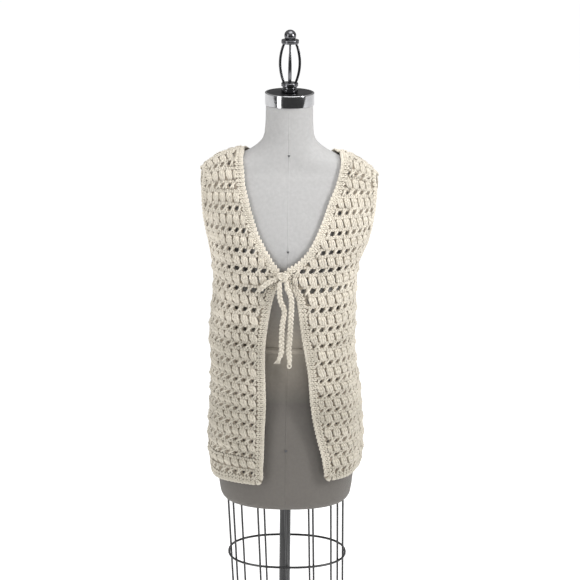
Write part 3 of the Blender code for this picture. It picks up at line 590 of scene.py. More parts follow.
vestSizes = {
    "cloth": 0.0045, "ease": 0.0035, "roundness": 2.35, "ridgeY": 0.005, "dropAt": 0.17,
    "border": 0.016, "armBorder": 0.010, "underarm": 1.145, "armWide": 1.245,
    "armForward": 0.040, "armBehind": 0.036, "neckHalf": 0.090, "neckDip": 3.3, "neckPower": 6,
    "neckSlope": 0.85,
}


def signedPower(value, power):
    return np.sign(value) * np.abs(value) ** power


class Cloth:
    # s is the length round a ring from the middle front, + to the wearer's left; r is the ring

    def __init__(self, form):
        self.form = form
        table = np.array(vestRings, float)
        self.columns = {name: table[:, i] for i, name in enumerate(vestColumns)}
        self.slopes = {}
        for name, values in self.columns.items():
            rise = np.diff(values)
            product = rise[1:] * rise[:-1]
            inner = np.where(product > 0, 2 * product / (rise[1:] + rise[:-1] + 1e-12), 0.0)
            self.slopes[name] = np.concatenate([[rise[0]], inner, [rise[-1]]])
        self.angles = np.linspace(-180, 180, 241)
        self.rings = {}

    def value(self, name, r):
        r = min(max(float(r), 0.0), float(ridge))
        i = min(int(r), ridge - 1)
        u = r - i
        a, b = self.columns[name][i], self.columns[name][i + 1]
        m, n = self.slopes[name][i], self.slopes[name][i + 1]
        ends = a * (1 + 2 * u) * (1 - u) ** 2 + b * u * u * (3 - 2 * u)
        return ends + m * u * (1 - u) ** 2 - n * u * u * (1 - u)

    def rowAt(self, height):
        low, high = 0.0, float(ridge)
        for _ in range(30):
            middle = (low + high) / 2
            low, high = (middle, high) if self.value("height", middle) < height else (low, middle)
        return (low + high) / 2

    def ring(self, r):
        key = round(float(r), 4)
        if key not in self.rings:
            value = {name: self.value(name, r) for name in vestColumns}
            turn = np.radians(self.angles)
            across = signedPower(np.sin(turn), 2 / vestSizes["roundness"])
            along = signedPower(np.cos(turn), 2 / vestSizes["roundness"])
            x = np.where(across > 0, value["left"], value["right"]) * across
            ridgeY = vestSizes["ridgeY"]
            reach = np.where(along > 0, value["front"] + ridgeY, value["back"] - ridgeY)
            drop = value["drop"] * (np.abs(x) / vestSizes["dropAt"]) ** 4
            out = np.zeros_like(turn)
            for row in folds:
                fold = dict(zip(foldColumns, row))
                apart = (self.angles - fold["angle"] + 180) % 360 - 180
                strength = (fold["starts"] - value["height"]) / (fold["starts"] - fold["full"])
                strength = min(1.0, max(0.0, strength))
                depth = fold["depth"] * strength**2 * (3 - 2 * strength)
                out += depth * np.exp(-((apart / fold["width"]) ** 2))
            norm = np.hypot(across, along)
            points = np.stack([
                x + out * across / norm,
                ridgeY - reach * along - out * along / norm,
                value["height"] + value["tilt"] * across - drop,
            ], axis=1)
            lengths = np.concatenate([[0.0], np.cumsum(np.linalg.norm(np.diff(points, axis=0), axis=1))])
            self.rings[key] = lengths - lengths[120], points
        return self.rings[key]

    def around(self, r):
        lengths = self.ring(r)[0]
        return lengths[-1] - lengths[0]

    def side(self, r, left):
        return float(self.ring(r)[0][180 if left else 60])

    def frontLength(self, r, x):
        lengths, points = self.ring(r)
        return float(np.interp(x, points[60:181, 0], lengths[60:181]))

    def raw(self, s, r):
        r = min(max(r, 0.0), 2.0 * ridge)
        if r > ridge:
            r = 2 * ridge - r
            s = 2 * self.side(r, s > 0) - s
        lengths, points = self.ring(r)
        s = (s - lengths[0]) % (lengths[-1] - lengths[0]) + lengths[0]
        return Vector([float(np.interp(s, lengths, points[:, axis])) for axis in range(3)])

    def place(self, s, r):
        # the outer point, the way along the ring and the way out
        along = (self.raw(s + 0.002, r) - self.raw(s - 0.002, r)).normalized()
        up = self.raw(s, r + 0.05) - self.raw(s, r - 0.05)
        out = along.cross(up).normalized()
        point = self.raw(s, r)
        inner = point - out * vestSizes["cloth"]
        near, away, _, _ = self.form.find_nearest(inner)
        short = vestSizes["ease"] - (inner - near).dot(away)
        if short > 0:
            point += away * short
        return point, along, out

    def frontLine(self, r, left):
        # the length out to the front edge, as if its hem corner were square
        edge = self.value("edgeLeft" if left else "edgeRight", r)
        return self.frontLength(r, edge if left else -edge)

    def armReach(self, r, forward, margin):
        reach = vestSizes["armForward" if forward else "armBehind"] + margin
        height = self.value("height", r)
        low, wide = vestSizes["underarm"], vestSizes["armWide"]
        if height < low - margin:
            return 0.0
        if height < wide:
            fall = (wide - height) / (wide - low + margin)
            return reach * math.sqrt(max(0.0, 1 - fall * fall))
        start = self.rowAt(wide)
        rise = (r - start) / (ridge - start)
        return (reach - margin) * math.cos(math.pi / 2 * min(1.0, rise)) + margin


def formTree():
    node = frame["nodes"]["form_torso"]
    points = [vertex.co.copy() for vertex in node.data.vertices]
    return BVHTree.FromPolygons(points, [tuple(face.vertices) for face in node.data.polygons])


torsoTree = formTree()
cloth = Cloth(torsoTree)


# lengths of the two-row repeats from the hem up, as uneven as they were worked
crochet = {
    "repeats": (
        0.0342, 0.0291, 0.0354, 0.0304, 0.0312, 0.0311, 0.0371, 0.0372, 0.0335,
        0.0411, 0.0412, 0.0408, 0.0404, 0.0411, 0.0432, 0.0427, 0.0398, 0.0395, 0.0390,
    ),
    "firstHole": 0.0215, "openShare": 0.42, "leftShrink": 0.94, "shrinkFrom": 12, "overTop": 0.05,
    "pitchHeights": (0.95, 1.05, 1.145, 1.225), "pitches": (0.0188, 0.0197, 0.0197, 0.0154),
    "openHole": (0.29, 0.33), "clusterHole": (0.095, 0.30), "unevenWide": 0.12, "unevenTall": 0.10,
    "openHeights": (0.72, 0.95, 1.05, 1.14, 1.24, 1.34), "openness": (0.52, 0.54, 0.80, 1.08, 0.94, 0.88),
    "sidePlaces": (0.095, 0.135), "sideOpenness": (1.0, 0.35), "backSplit": 0.98, "neckTuck": 0.04,
    "holeLine": 0.1035, "motifWide": 0.0195, "postTall": 0.0188, "clusterTall": 0.0212,
    "webThick": 0.0012, "webDepth": 0.0026, "webCrown": 0.22, "underlap": 0.001, "sideGap": 0.0005,
    "wobble": 0.065, "seed": 11,
}


def pitchAt(height):
    return float(np.interp(height, crochet["pitchHeights"], crochet["pitches"]))


def opennessAt(height, x):
    # the mesh is stretched open over the bust and closes towards the hem and the sides
    upward = np.interp(height, crochet["openHeights"], crochet["openness"])
    return float(upward * np.interp(abs(x), crochet["sidePlaces"], crochet["sideOpenness"]))


def rowRings(backOrRight):
    # ring numbers of each row's middle, from cloth lengths measured up the shoulder's line
    samples = np.linspace(0, ridge, ridge * 12 + 1)
    points = []
    for r in samples:
        ring = cloth.ring(r)[1]
        angle = 42 if backOrRight != "back" else 138
        points.append([np.interp(angle, cloth.angles, ring[:, axis]) for axis in range(3)])
    ups = np.concatenate([[0.0], np.cumsum(np.linalg.norm(np.diff(np.array(points), axis=0), axis=1))])
    middles = []
    at = crochet["firstHole"]
    for k, repeat in enumerate(crochet["repeats"]):
        if backOrRight == "left" and k >= crochet["shrinkFrom"]:
            repeat = repeat * crochet["leftShrink"]
        middles.append((at, repeat))
        at += repeat
    rows = []
    for at, repeat in middles:
        half = crochet["openShare"] * repeat / 2
        rows.append(("open", at - half, at + half))
        rows.append(("cluster", at + half, at - half + repeat))
    rows[-1] = rows[-1][:2] + (rows[-1][2] + crochet["overTop"],)
    made = []
    for kind, low, high in rows:
        if low > ups[-1]:
            break
        r0, r1 = (float(np.interp(v, ups, samples)) for v in (low, high))
        made.append((kind, r0, r1, min(high, ups[-1]) - low))
    return made


class Panel:
    # one crocheted panel: its edges along each ring, its columns and its rows

    def __init__(self, name, low, high, anchor, rows, bottom, lid=None):
        self.name, self.low, self.high, self.anchor = name, low, high, anchor
        self.rows, self.bottom, self.lid = rows, bottom, lid

    def pitch(self, r):
        return pitchAt(cloth.value("height", r))

    def across(self, r, column):
        return self.anchor(r) + column * self.pitch(r)

    def clamp(self, s, r):
        r = max(r, self.bottom)
        s = min(max(s, self.low(r)), self.high(r))
        if self.lid:
            r = min(r, self.lid(s, r))
            s = min(max(s, self.low(r)), self.high(r))
        return s, min(r, float(ridge))

    def columns(self, r):
        pitch = self.pitch(r)
        first = math.floor((self.low(r) - self.anchor(r)) / pitch - 0.5)
        last = math.ceil((self.high(r) - self.anchor(r)) / pitch + 0.5)
        return range(first, last + 1)


def smallNoise(*numbers):
    # a steady pseudo-random number from -1 to 1 for a place in the cloth
    mixed = sum(number * factor for number, factor in zip(numbers, (12.9898, 78.233, 37.719)))
    mixed = math.sin(mixed) * 43758.5453
    return 2 * (mixed - math.floor(mixed)) - 1


def webOf(panel):
    # a thin lattice: every cell is a rounded frame round its opening
    points, faces, made = [], [], {}

    def corner(s, r):
        s, r = panel.clamp(s, r)
        key = (round(s, 5), round(r, 4))
        if key not in made:
            point, _, out = cloth.place(s, r)
            made[key] = len(points)
            points.append(point - out * crochet["webDepth"])
        return made[key]

    for number, (kind, r0, r1, tall) in enumerate(panel.rows):
        middle = (r0 + r1) / 2
        if r1 <= panel.bottom:
            continue
        for k in panel.columns(min(middle, ridge)):
            centre = k if kind == "open" else k + 0.5
            s = panel.across(middle, centre)
            height = cloth.value("height", min(middle, ridge))
            opened = opennessAt(height, cloth.place(*panel.clamp(s, middle))[0].x)
            pitch = panel.pitch(middle)
            rim = [
                (r0, centre - 0.5), (r0, centre), (r0, centre + 0.5), (middle, centre + 0.5),
                (r1, centre + 0.5), (r1, centre), (r1, centre - 0.5), (middle, centre - 0.5),
            ]
            outer = [corner(panel.across(r, c), r) for r, c in rim]
            wide, high = crochet["openHole" if kind == "open" else "clusterHole"]
            wide *= opened * (1 + crochet["unevenWide"] * smallNoise(number, k, 1))
            high *= opened * (1 + crochet["unevenTall"] * smallNoise(number, k, 2))
            inside = panel.low(middle) < s - wide * pitch and s + wide * pitch < panel.high(middle)
            top = panel.lid(s, middle) if panel.lid else ridge
            inside = inside and middle + high * (r1 - r0) < top and middle - high * (r1 - r0) > panel.bottom
            clean = list(dict.fromkeys(outer))
            if len(clean) < 3:
                continue
            if not inside:
                faces.append(tuple(clean))
                continue
            lean = postLean if kind == "open" else clusterLean
            inner, sides = [], len(rim)
            for j in range(sides):
                turn = 2 * math.pi * (j - 3) / sides
                x, y = (float(signedPower(part, 0.7)) for part in (math.cos(turn), math.sin(turn)))
                slant = lean * tall * high * y
                inner.append(corner(s + wide * pitch * x + slant, middle + high * (r1 - r0) * y))
            for j in range(sides):
                step = (j + 1) % sides
                quad = tuple(dict.fromkeys((outer[j], outer[step], inner[step], inner[j])))
                if len(quad) > 2:
                    faces.append(quad)
    return points, faces


def addSheetPiece(name, points, faces, thick):
    mesh = bpy.data.meshes.new(name)
    mesh.from_pydata([tuple(point) for point in points], [], faces)
    work = bmesh.new()
    work.from_mesh(mesh)
    bmesh.ops.remove_doubles(work, verts=work.verts, dist=2e-5)
    bmesh.ops.dissolve_degenerate(work, edges=work.edges, dist=2e-5)
    bmesh.ops.recalc_face_normals(work, faces=work.faces)
    work.to_mesh(mesh)
    work.free()
    # painted shade: the web and band backing get a low crown, so they are coloured as if in shadow behind
    # the stitches
    crown = mesh.attributes.new("crown", "FLOAT", "POINT")
    crown.data.foreach_set("value", [crochet["webCrown"]] * len(mesh.vertices))
    mesh.shade_smooth()
    mesh.materials.append(wool)
    piece = bpy.data.objects.new(name, mesh)
    scene.collection.objects.link(piece)
    wall = piece.modifiers.new("wall", "SOLIDIFY")
    wall.thickness = thick
    wall.offset = 0.0
    return piece


mm = 0.001
postLean = 0.22
clusterLean = -0.38


# the crown numbers given with each strand paint shade: low where the yarn sinks into the fabric or under a
# crossing, high on its raised middle
def chainTop(mesh, y, width, count):
    # the row of V loops that every row ends in
    lift = 1.4
    for k in range(count):
        x = (k + 0.5 - count / 2) * width / count
        half = 0.56 * width / count
        for way in (-1, 1):
            path = [
                (x - half, y + way * 2.0, lift - 1.1), (x - 0.1 * half, y + way * 1.5, lift + 0.5),
                (x + half, y + way * 0.3, lift),
            ]
            mesh.strand([Vector(p) * mm for p in path], [1.0 * mm, 1.9 * mm, 1.1 * mm], [0.2, 0.8, 0.4])


def leaning(path, lean):
    # points in millimetres, pushed sideways by their height
    return [Vector((x + lean * y, y, z)) * mm for x, y, z in path]


def postMotif(name, lean):
    # one upright stitch between two openings, its two legs twisted round each other
    mesh = StrandMesh(6)
    left = [
        (-3.6, -9.6, 0.0), (-3.4 - lean, -5.0, 1.3), (-0.9, 0.0, 2.5), (2.4 + lean, 4.0, 1.7),
        (3.6, 7.8, 0.6),
    ]
    right = [
        (1.8, -9.6, 0.2), (2.3 + lean, -4.8, 1.6), (0.6, -0.8, 0.9), (-1.6, 3.4, 1.4), (-1.9, 7.6, 0.8),
    ]
    for path in (left, right):
        radii = [2.0 * mm, 2.3 * mm, 2.2 * mm, 2.3 * mm, 1.9 * mm]
        mesh.strand(leaning(path, postLean), radii, [0.2, 0.6, 0.85, 0.6, 0.3])
    chainTop(mesh, 8.6, 19.5, 3)
    return mesh.build(name, wool)


def clusterMotif(name, lean, puff, high):
    # three puffed stitches gathered together at foot and head, each with its slanting wrap
    mesh = StrandMesh(6)
    for k in (-1, 0, 1):
        full = puff + (0.9 if k == 0 else 0.0) + 0.4 * lean * k
        rise = high * (1 if k == 0 else -0.6)
        path = [
            (2.0 * k, -12.0, -0.9), (4.1 * k - 0.5 * lean, -7.6, 1.0 + 0.4 * full),
            (5.3 * k, -1.8 + rise, 2.0 + 0.7 * full), (5.1 * k + 0.5 * lean, 3.6 + rise, 1.9 + 0.7 * full),
            (2.5 * k, 10.2, -0.4),
        ]
        radii = [1.6 * mm, 2.6 * mm, 3.1 * mm, 3.0 * mm, 1.7 * mm]
        mesh.strand(leaning(path, clusterLean), radii, [0.0, 0.5, 0.9, 0.8, 0.1])
        wrap = [
            (5.1 * k - 3.1, -4.6 + lean + rise, 2.2 + 0.7 * full),
            (5.3 * k - 0.4, 0.2 + lean + rise, 4.9 + 0.7 * full),
            (5.1 * k + 2.3, 5.4 + lean + rise, 2.2 + 0.7 * full),
        ]
        mesh.strand(leaning(wrap, clusterLean), [1.0 * mm, 2.1 * mm, 1.0 * mm], [0.4, 1.0, 0.5])
    chainTop(mesh, 10.4, 19.5, 3)
    return mesh.build(name, wool)


def edgeMotif(name, tall, rows):
    # a short stretch of border: flat stitches across it and a chain along its free edge
    mesh = StrandMesh(6)
    step = (tall - 3.6) / rows
    for row in range(rows):
        y = -tall / 2 + step * (row + 0.5)
        for way in (-1, 1):
            path = [
                (way * 2.9, y + step * 0.60, 0.0), (way * 2.3, y + step * 0.1, 1.9),
                (way * 0.4, y - step * 0.60, 1.1),
            ]
            mesh.strand([Vector(p) * mm for p in path], [1.3 * mm, 2.1 * mm, 1.2 * mm], [0.3, 0.95, 0.45])
    y = tall / 2 - 2.0
    for way in (-1, 1):
        path = [(-4.8, y + way * 1.3, 0.2), (-0.4, y + way * 1.3, 1.8), (4.8, y + way * 0.5, 1.2)]
        mesh.strand([Vector(p) * mm for p in path], [1.75 * mm, 1.95 * mm, 1.75 * mm], [0.5, 0.95, 0.5])
    return mesh.build(name, wool)


motifs = {
    "cloth": [
        postMotif("m0post", 0.0), postMotif("m1post", 0.5), postMotif("m2post", 1.0),
        clusterMotif("m3cluster", 0.3, 0.5, 0.4), clusterMotif("m4cluster", -0.7, 0.9, -0.8),
        clusterMotif("m5cluster", 1.0, 0.3, 1.0), clusterMotif("m6cluster", -0.2, 1.3, -0.2),
    ],
    "wideEdge": [edgeMotif("e0wide", 16.0, 2)],
    "armEdge": [edgeMotif("f0arm", 10.0, 1)],
}
motifSets = {}
for label, members in motifs.items():
    motifSets[label] = bpy.data.collections.new(label)
    for member in members:
        scene.collection.objects.unlink(member)
        motifSets[label].objects.link(member)


def stitchTree():
    # sets a motif on every point, turned and sized by the point, with a little wobble, and joins them
    tree = bpy.data.node_groups.new("setStitches", "GeometryNodeTree")
    face = tree.interface
    face.new_socket("Geometry", in_out="INPUT", socket_type="NodeSocketGeometry")
    face.new_socket("Motifs", in_out="INPUT", socket_type="NodeSocketCollection")
    face.new_socket("Wobble", in_out="INPUT", socket_type="NodeSocketFloat")
    face.new_socket("Seed", in_out="INPUT", socket_type="NodeSocketInt")
    face.new_socket("Yarn", in_out="INPUT", socket_type="NodeSocketMaterial")
    face.new_socket("Geometry", in_out="OUTPUT", socket_type="NodeSocketGeometry")
    nodes, link = tree.nodes, tree.links.new
    start, end = nodes.new("NodeGroupInput"), nodes.new("NodeGroupOutput")
    pick = nodes.new("GeometryNodeCollectionInfo")
    pick.inputs["Separate Children"].default_value = True
    pick.inputs["Reset Children"].default_value = True
    link(start.outputs["Motifs"], pick.inputs["Collection"])
    read = {}
    for name, kind in (("kind", "INT"), ("turn", "FLOAT_VECTOR"), ("size", "FLOAT_VECTOR")):
        node = nodes.new("GeometryNodeInputNamedAttribute")
        node.data_type = kind
        node.inputs["Name"].default_value = name
        read[name] = node.outputs["Attribute"]
    stand = nodes.new("GeometryNodeInstanceOnPoints")
    stand.inputs["Pick Instance"].default_value = True
    link(start.outputs["Geometry"], stand.inputs["Points"])
    link(pick.outputs[0], stand.inputs["Instance"])
    link(read["kind"], stand.inputs["Instance Index"])
    link(read["turn"], stand.inputs["Rotation"])
    link(read["size"], stand.inputs["Scale"])
    sway = nodes.new("FunctionNodeRandomValue")
    sway.data_type = "FLOAT_VECTOR"
    less = nodes.new("ShaderNodeMath")
    less.operation = "MULTIPLY"
    less.inputs[1].default_value = -1.0
    link(start.outputs["Wobble"], less.inputs[0])
    link(less.outputs[0], sway.inputs["Min"])
    link(start.outputs["Wobble"], sway.inputs["Max"])
    link(start.outputs["Seed"], sway.inputs["Seed"])
    turn = nodes.new("GeometryNodeRotateInstances")
    link(stand.outputs["Instances"], turn.inputs["Instances"])
    link(sway.outputs["Value"], turn.inputs["Rotation"])
    join = nodes.new("GeometryNodeRealizeInstances")
    link(turn.outputs["Instances"], join.inputs["Geometry"])
    paint = nodes.new("GeometryNodeSetMaterial")
    link(join.outputs["Geometry"], paint.inputs["Geometry"])
    link(start.outputs["Yarn"], paint.inputs["Material"])
    link(paint.outputs["Geometry"], end.inputs["Geometry"])
    return tree


stitches = stitchTree()


def setStitches(name, places, motifSet, wobble, seed):
    # places are rows of point, turn matrix, size and kind
    mesh = bpy.data.meshes.new(name + "Points")
    mesh.from_pydata([tuple(place[0]) for place in places], [], [])
    turns = np.array([place[1].to_euler("XYZ")[:] for place in places], float).ravel()
    sizes = np.array([place[2] for place in places], float).ravel()
    mesh.attributes.new("turn", "FLOAT_VECTOR", "POINT").data.foreach_set("vector", turns)
    mesh.attributes.new("size", "FLOAT_VECTOR", "POINT").data.foreach_set("vector", sizes)
    mesh.attributes.new("kind", "INT", "POINT").data.foreach_set("value", [place[3] for place in places])
    holder = bpy.data.objects.new(name + "Points", mesh)
    scene.collection.objects.link(holder)
    maker = holder.modifiers.new("stitches", "NODES")
    maker.node_group = stitches
    values = {"Motifs": motifSets[motifSet], "Wobble": wobble, "Seed": seed, "Yarn": wool}
    for item in stitches.interface.items_tree:
        if item.in_out == "INPUT" and item.name in values:
            maker[item.identifier] = values[item.name]
    graph = bpy.context.evaluated_depsgraph_get()
    made = bpy.data.meshes.new_from_object(holder.evaluated_get(graph))
    made.name = name
    bpy.data.objects.remove(holder)
    piece = bpy.data.objects.new(name, made)
    scene.collection.objects.link(piece)
    return piece


def frameOf(s, r, depth):
    # a point under the outer surface and the turn that lays a motif there
    point, along, out = cloth.place(s, r)
    up = out.cross(along)
    return point - out * depth, Matrix((along, up, out)).transposed()


def stitchesOf(panel, keep):
    places = []
    for number, (kind, r0, r1, tall) in enumerate(panel.rows):
        low, high = max(r0, panel.bottom), min(r1, float(ridge))
        if high - low < 0.3 * (r1 - r0):
            continue
        middle = (low + high) / 2
        share = (high - low) / (r1 - r0) if r1 <= ridge else 1.0
        for k in panel.columns(middle):
            centre = k + 0.5 if kind == "open" else k
            left = max(panel.across(middle, centre - 0.5), panel.low(middle))
            right = min(panel.across(middle, centre + 0.5), panel.high(middle))
            pitch = panel.pitch(middle)
            if right - left < 0.4 * pitch:
                continue
            s = (left + right) / 2
            if not keep(s, middle):
                continue
            top = panel.lid(s, middle) if panel.lid else ridge
            if middle > top:
                continue
            point, turn = frameOf(s, middle, crochet["webDepth"])
            flatter = float(np.interp(abs(point.x), (0.11, 0.15), (1.0, 0.72)))
            nominal = crochet["postTall"] if kind == "open" else crochet["clusterTall"]
            opened = opennessAt(cloth.value("height", middle), point.x)
            thick = 1.0 + 0.35 * (1 - opened) if kind == "open" else 1.0
            longer = 1.03 + 0.05 * smallNoise(number, k, 3)
            fuller = 1.0 + 0.16 * smallNoise(number, k, 5)
            wider = (right - left) / crochet["motifWide"] * thick
            size = (wider, tall * share / nominal * longer, fuller * flatter)
            first, many = (0, 3) if kind == "open" else (3, 4)
            chosen = min(many - 1, int((smallNoise(number, k, 7) + 1) / 2 * many))
            places.append((point, turn, size, first + chosen))
    return places


def panelBottom():
    return cloth.rowAt(vestRings[0][0] + vestSizes["border"] - crochet["underlap"])


def frontPanel(left):
    sign = 1 if left else -1
    border = vestSizes["border"]

    def edge(r):
        return cloth.frontLine(r, left) + sign * (border - crochet["underlap"])

    def sideLine(r):
        reach = cloth.armReach(r, True, vestSizes["armBorder"] - crochet["underlap"])
        return cloth.side(r, left) - sign * max(crochet["sideGap"], reach)

    def anchor(r):
        return cloth.frontLength(r, sign * crochet["holeLine"])

    low, high = (edge, sideLine) if left else (sideLine, edge)
    rows = rowRings("left" if left else "right")
    return Panel("leftFront" if left else "rightFront", low, high, anchor, rows, panelBottom())


def backPlace(c, r):
    reach = max(crochet["sideGap"], cloth.armReach(r, False, vestSizes["armBorder"]))
    start = cloth.side(r, True) + reach
    stop = cloth.around(r) + cloth.side(r, False) - reach
    return start + (stop - start) * (c + 1) / 2


ridgeHalf = vestRings[-1][4] - vestSizes["armBorder"]
neckEdge = vestSizes["neckHalf"] / ridgeHalf
neckSeam = (vestSizes["neckHalf"] + vestSizes["border"]) / ridgeHalf
neckTop = cloth.value("height", ridge - vestSizes["neckDip"])
neckFoot = neckTop - vestSizes["border"] * vestSizes["neckSlope"]
neckLower = ridge - cloth.rowAt(neckFoot)


def neckCurve(k, dip):
    return ridge - dip * (1 - min(1.0, abs(k)) ** vestSizes["neckPower"])


def backPanel():
    def sideReach(r):
        margin = vestSizes["armBorder"] - crochet["underlap"]
        return max(crochet["sideGap"], cloth.armReach(r, False, margin))

    def low(r):
        return cloth.side(r, True) + sideReach(r)

    def high(r):
        return cloth.around(r) + cloth.side(r, False) - sideReach(r)

    def anchor(r):
        return cloth.around(r) / 2

    def lid(s, r):
        start, stop = low(r), high(r)
        c = 2 * (s - start) / (stop - start) - 1
        return neckCurve(c / neckSeam, neckLower) + crochet["neckTuck"]

    rows = rowRings("back")
    return Panel("back", low, high, anchor, rows, panelBottom(), lid)


def buildPanel(panel, node, splitAt=None):
    points, faces = webOf(panel)
    web = addSheetPiece(panel.name + "Web", points, faces, crochet["webThick"])
    settle(web, "wool", node)
    yarns = []
    parts = [("Stitches", lambda s, r: True)]
    if splitAt is not None:
        parts = [("LowStitches", lambda s, r: r < splitAt), ("HighStitches", lambda s, r: r >= splitAt)]
    for number, (label, keep) in enumerate(parts):
        places, seed = stitchesOf(panel, keep), crochet["seed"] + number
        yarn = setStitches(panel.name + label, places, "cloth", crochet["wobble"], seed)
        settle(yarn, "wool")
        yarns.append(yarn)
    count = sum(len(face.vertices) - 2 for yarn in yarns for face in yarn.data.polygons)
    print(panel.name, "worked,", count, "triangles")


buildPanel(frontPanel(False), "vest_front_right")
buildPanel(frontPanel(True), "vest_front_left")
buildPanel(backPanel(), "vest_back", cloth.rowAt(crochet["backSplit"]))


bandLook = {
    "pitch": 0.0086, "depth": 0.0026, "stitchDepth": 0.0020, "wall": 0.0022,
    "unevenLong": 0.06, "unevenProud": 0.1, "wobble": 0.05, "cornerSwell": 0.10,
    "frontSteps": 70, "cornerSteps": 7, "hemSteps": 120, "neckSteps": 60, "armSteps": 22,
}


def bandPiece(name, node, rows, seed, motifSet, tall, closed=False):
    # rows are pairs of cloth places, panel side and free edge, along the band
    points, faces = [], []
    for inner, outer in rows:
        for part in (0.0, 0.5, 1.0):
            s = inner[0] + (outer[0] - inner[0]) * part
            r = inner[1] + (outer[1] - inner[1]) * part
            point, _, out = cloth.place(s, r)
            points.append(point - out * bandLook["depth"])
    count = len(rows)
    for i in range(count if closed else count - 1):
        a, b = 3 * i, 3 * ((i + 1) % count)
        for j in range(2):
            faces.append((a + j, b + j, b + j + 1, a + j + 1))
    band = addSheetPiece(name + "Band", points, faces, bandLook["wall"])
    settle(band, "wool", node)
    middles = [Vector(points[3 * i + 1]) for i in range(count)]
    if closed:
        middles.append(middles[0])
    lengths = [0.0]
    for a, b in zip(middles, middles[1:]):
        lengths.append(lengths[-1] + (b - a).length)
    pieces = max(2, round(lengths[-1] / bandLook["pitch"]))
    places = []
    for k in range(pieces):
        at = lengths[-1] * (k + 0.5) / pieces
        i = min(int(np.searchsorted(lengths, at, side="right")) - 1, len(lengths) - 2)
        u = (at - lengths[i]) / (lengths[i + 1] - lengths[i])
        first, second = rows[i], rows[(i + 1) % count]
        inner = [first[0][axis] + (second[0][axis] - first[0][axis]) * u for axis in range(2)]
        outer = [first[1][axis] + (second[1][axis] - first[1][axis]) * u for axis in range(2)]
        s, r = (inner[0] + outer[0]) / 2, (inner[1] + outer[1]) / 2
        point, _, out = cloth.place(s, r)
        up = (cloth.place(*outer)[0] - cloth.place(*inner)[0])
        wide = up.length
        up = (up - out * up.dot(out)).normalized()
        along = up.cross(out)
        turn = Matrix((along, up, out)).transposed()
        stretch = lengths[-1] / pieces / bandLook["pitch"]
        long = stretch * (1 + bandLook["unevenLong"] * smallNoise(k, 3, 1))
        proud = 1 + bandLook["unevenProud"] * smallNoise(k, 5, 2)
        places.append((point - out * bandLook["stitchDepth"], turn, (long, wide / tall, proud), 0))
    yarn = setStitches(name + "Stitches", places, motifSet, bandLook["wobble"], seed)
    settle(yarn, "wool")
    print(name, "edged, length", round(lengths[-1], 3))


def frontBorder(left):
    sign = 1 if left else -1
    border = vestSizes["border"]
    hub = cloth.rowAt(vestRings[0][0] + border)
    rows = []
    for r in np.linspace(ridge, hub, bandLook["frontSteps"]):
        edge = cloth.frontLine(r, left)
        rows.append(((edge + sign * border, r), (edge, r)))
    perMetre = hub / border
    steps = bandLook["cornerSteps"]
    for k in range(1, steps + 1):
        turn = math.pi / 2 * k / steps
        s = cloth.frontLine(hub, left) + sign * border
        reach = border * (1 + bandLook["cornerSwell"] * math.sin(2 * turn))
        free = (s - sign * reach * math.cos(turn), hub - reach * math.sin(turn) * perMetre)
        rows.append(((s, hub), free))
    name = "leftFrontBorder" if left else "rightFrontBorder"
    node = "border_front_left" if left else "border_front_right"
    bandPiece(name, node, rows, 21 + left, "wideEdge", 0.016)


def hemBorder():
    top = cloth.rowAt(vestRings[0][0] + vestSizes["border"])
    starts = [cloth.frontLine(r, True) + vestSizes["border"] for r in (top, 0.0)]
    stops = [cloth.around(r) + cloth.frontLine(r, False) - vestSizes["border"] for r in (top, 0.0)]
    rows, steps = [], bandLook["hemSteps"]
    for k in range(steps + 1):
        u = k / steps
        inner, outer = (a + (b - a) * u for a, b in zip(starts, stops))
        rows.append(((inner, top), (outer, 0.0)))
    rows.reverse()
    bandPiece("hemBorder", "border_hem", rows, 31, "wideEdge", 0.016)


def neckBorder():
    rows = []
    for k in np.sin(np.linspace(-math.pi / 2, math.pi / 2, bandLook["neckSteps"] + 1)):
        lower, upper = neckCurve(k, neckLower), neckCurve(k, vestSizes["neckDip"])
        rows.append(((backPlace(k * neckSeam, lower), lower), (backPlace(k * neckEdge, upper), upper)))
    bandPiece("backNeckBorder", "border_neck_back", rows, 41, "wideEdge", 0.016)


def armBorder(left):
    under = cloth.rowAt(vestSizes["underarm"])
    lower = cloth.rowAt(vestSizes["underarm"] - vestSizes["armBorder"])
    sign = 1 if left else -1
    steps = bandLook["armSteps"]
    ups = [1 - math.cos(math.pi / 2 * k / steps) for k in range(steps + 1)]
    path = [(up, 1) for up in ups] + [(up, -1) for up in reversed(ups[1:-1])]
    rows = []
    for up, way in path:
        innerR, outerR = under + (ridge - under) * up, lower + (ridge - lower) * up
        free = cloth.armReach(innerR, way > 0, 0.0)
        sewn = cloth.armReach(outerR, way > 0, vestSizes["armBorder"]) if up else 0.0
        rows.append((
            (cloth.side(outerR, left) - sign * way * sewn, outerR),
            (cloth.side(innerR, left) - sign * way * free, innerR),
        ))
    if not left:
        rows.reverse()
    name = "leftArmBorder" if left else "rightArmBorder"
    node = "border_arm_left" if left else "border_arm_right"
    bandPiece(name, node, rows, 51 + left, "armEdge", 0.010, True)


for left in (False, True):
    frontBorder(left)
    armBorder(left)
hemBorder()
neckBorder()


def tieStrap():
    points = []
    for height, out in tieLook["straps"]:
        r = cloth.rowAt(height)
        point, _, normal = cloth.place(cloth.frontLength(r, -out), r)
        points.append(point + normal * tieLook["strapLift"])
    points[-1] -= normal * tieLook["strapTuck"]
    route = smoothRoute(points, tieLook["step"])
    mesh = StrandMesh(8)
    braid(mesh, route, [Vector((-0.1, -1, 0))] * len(route), 1.0)
    settle(mesh.build("tieStrap", wool), "wool", "tie_strap")


tieStrap()
for collection in motifSets.values():
    for member in list(collection.objects):
        bpy.data.objects.remove(member)
    bpy.data.collections.remove(collection)
print("vest worked")


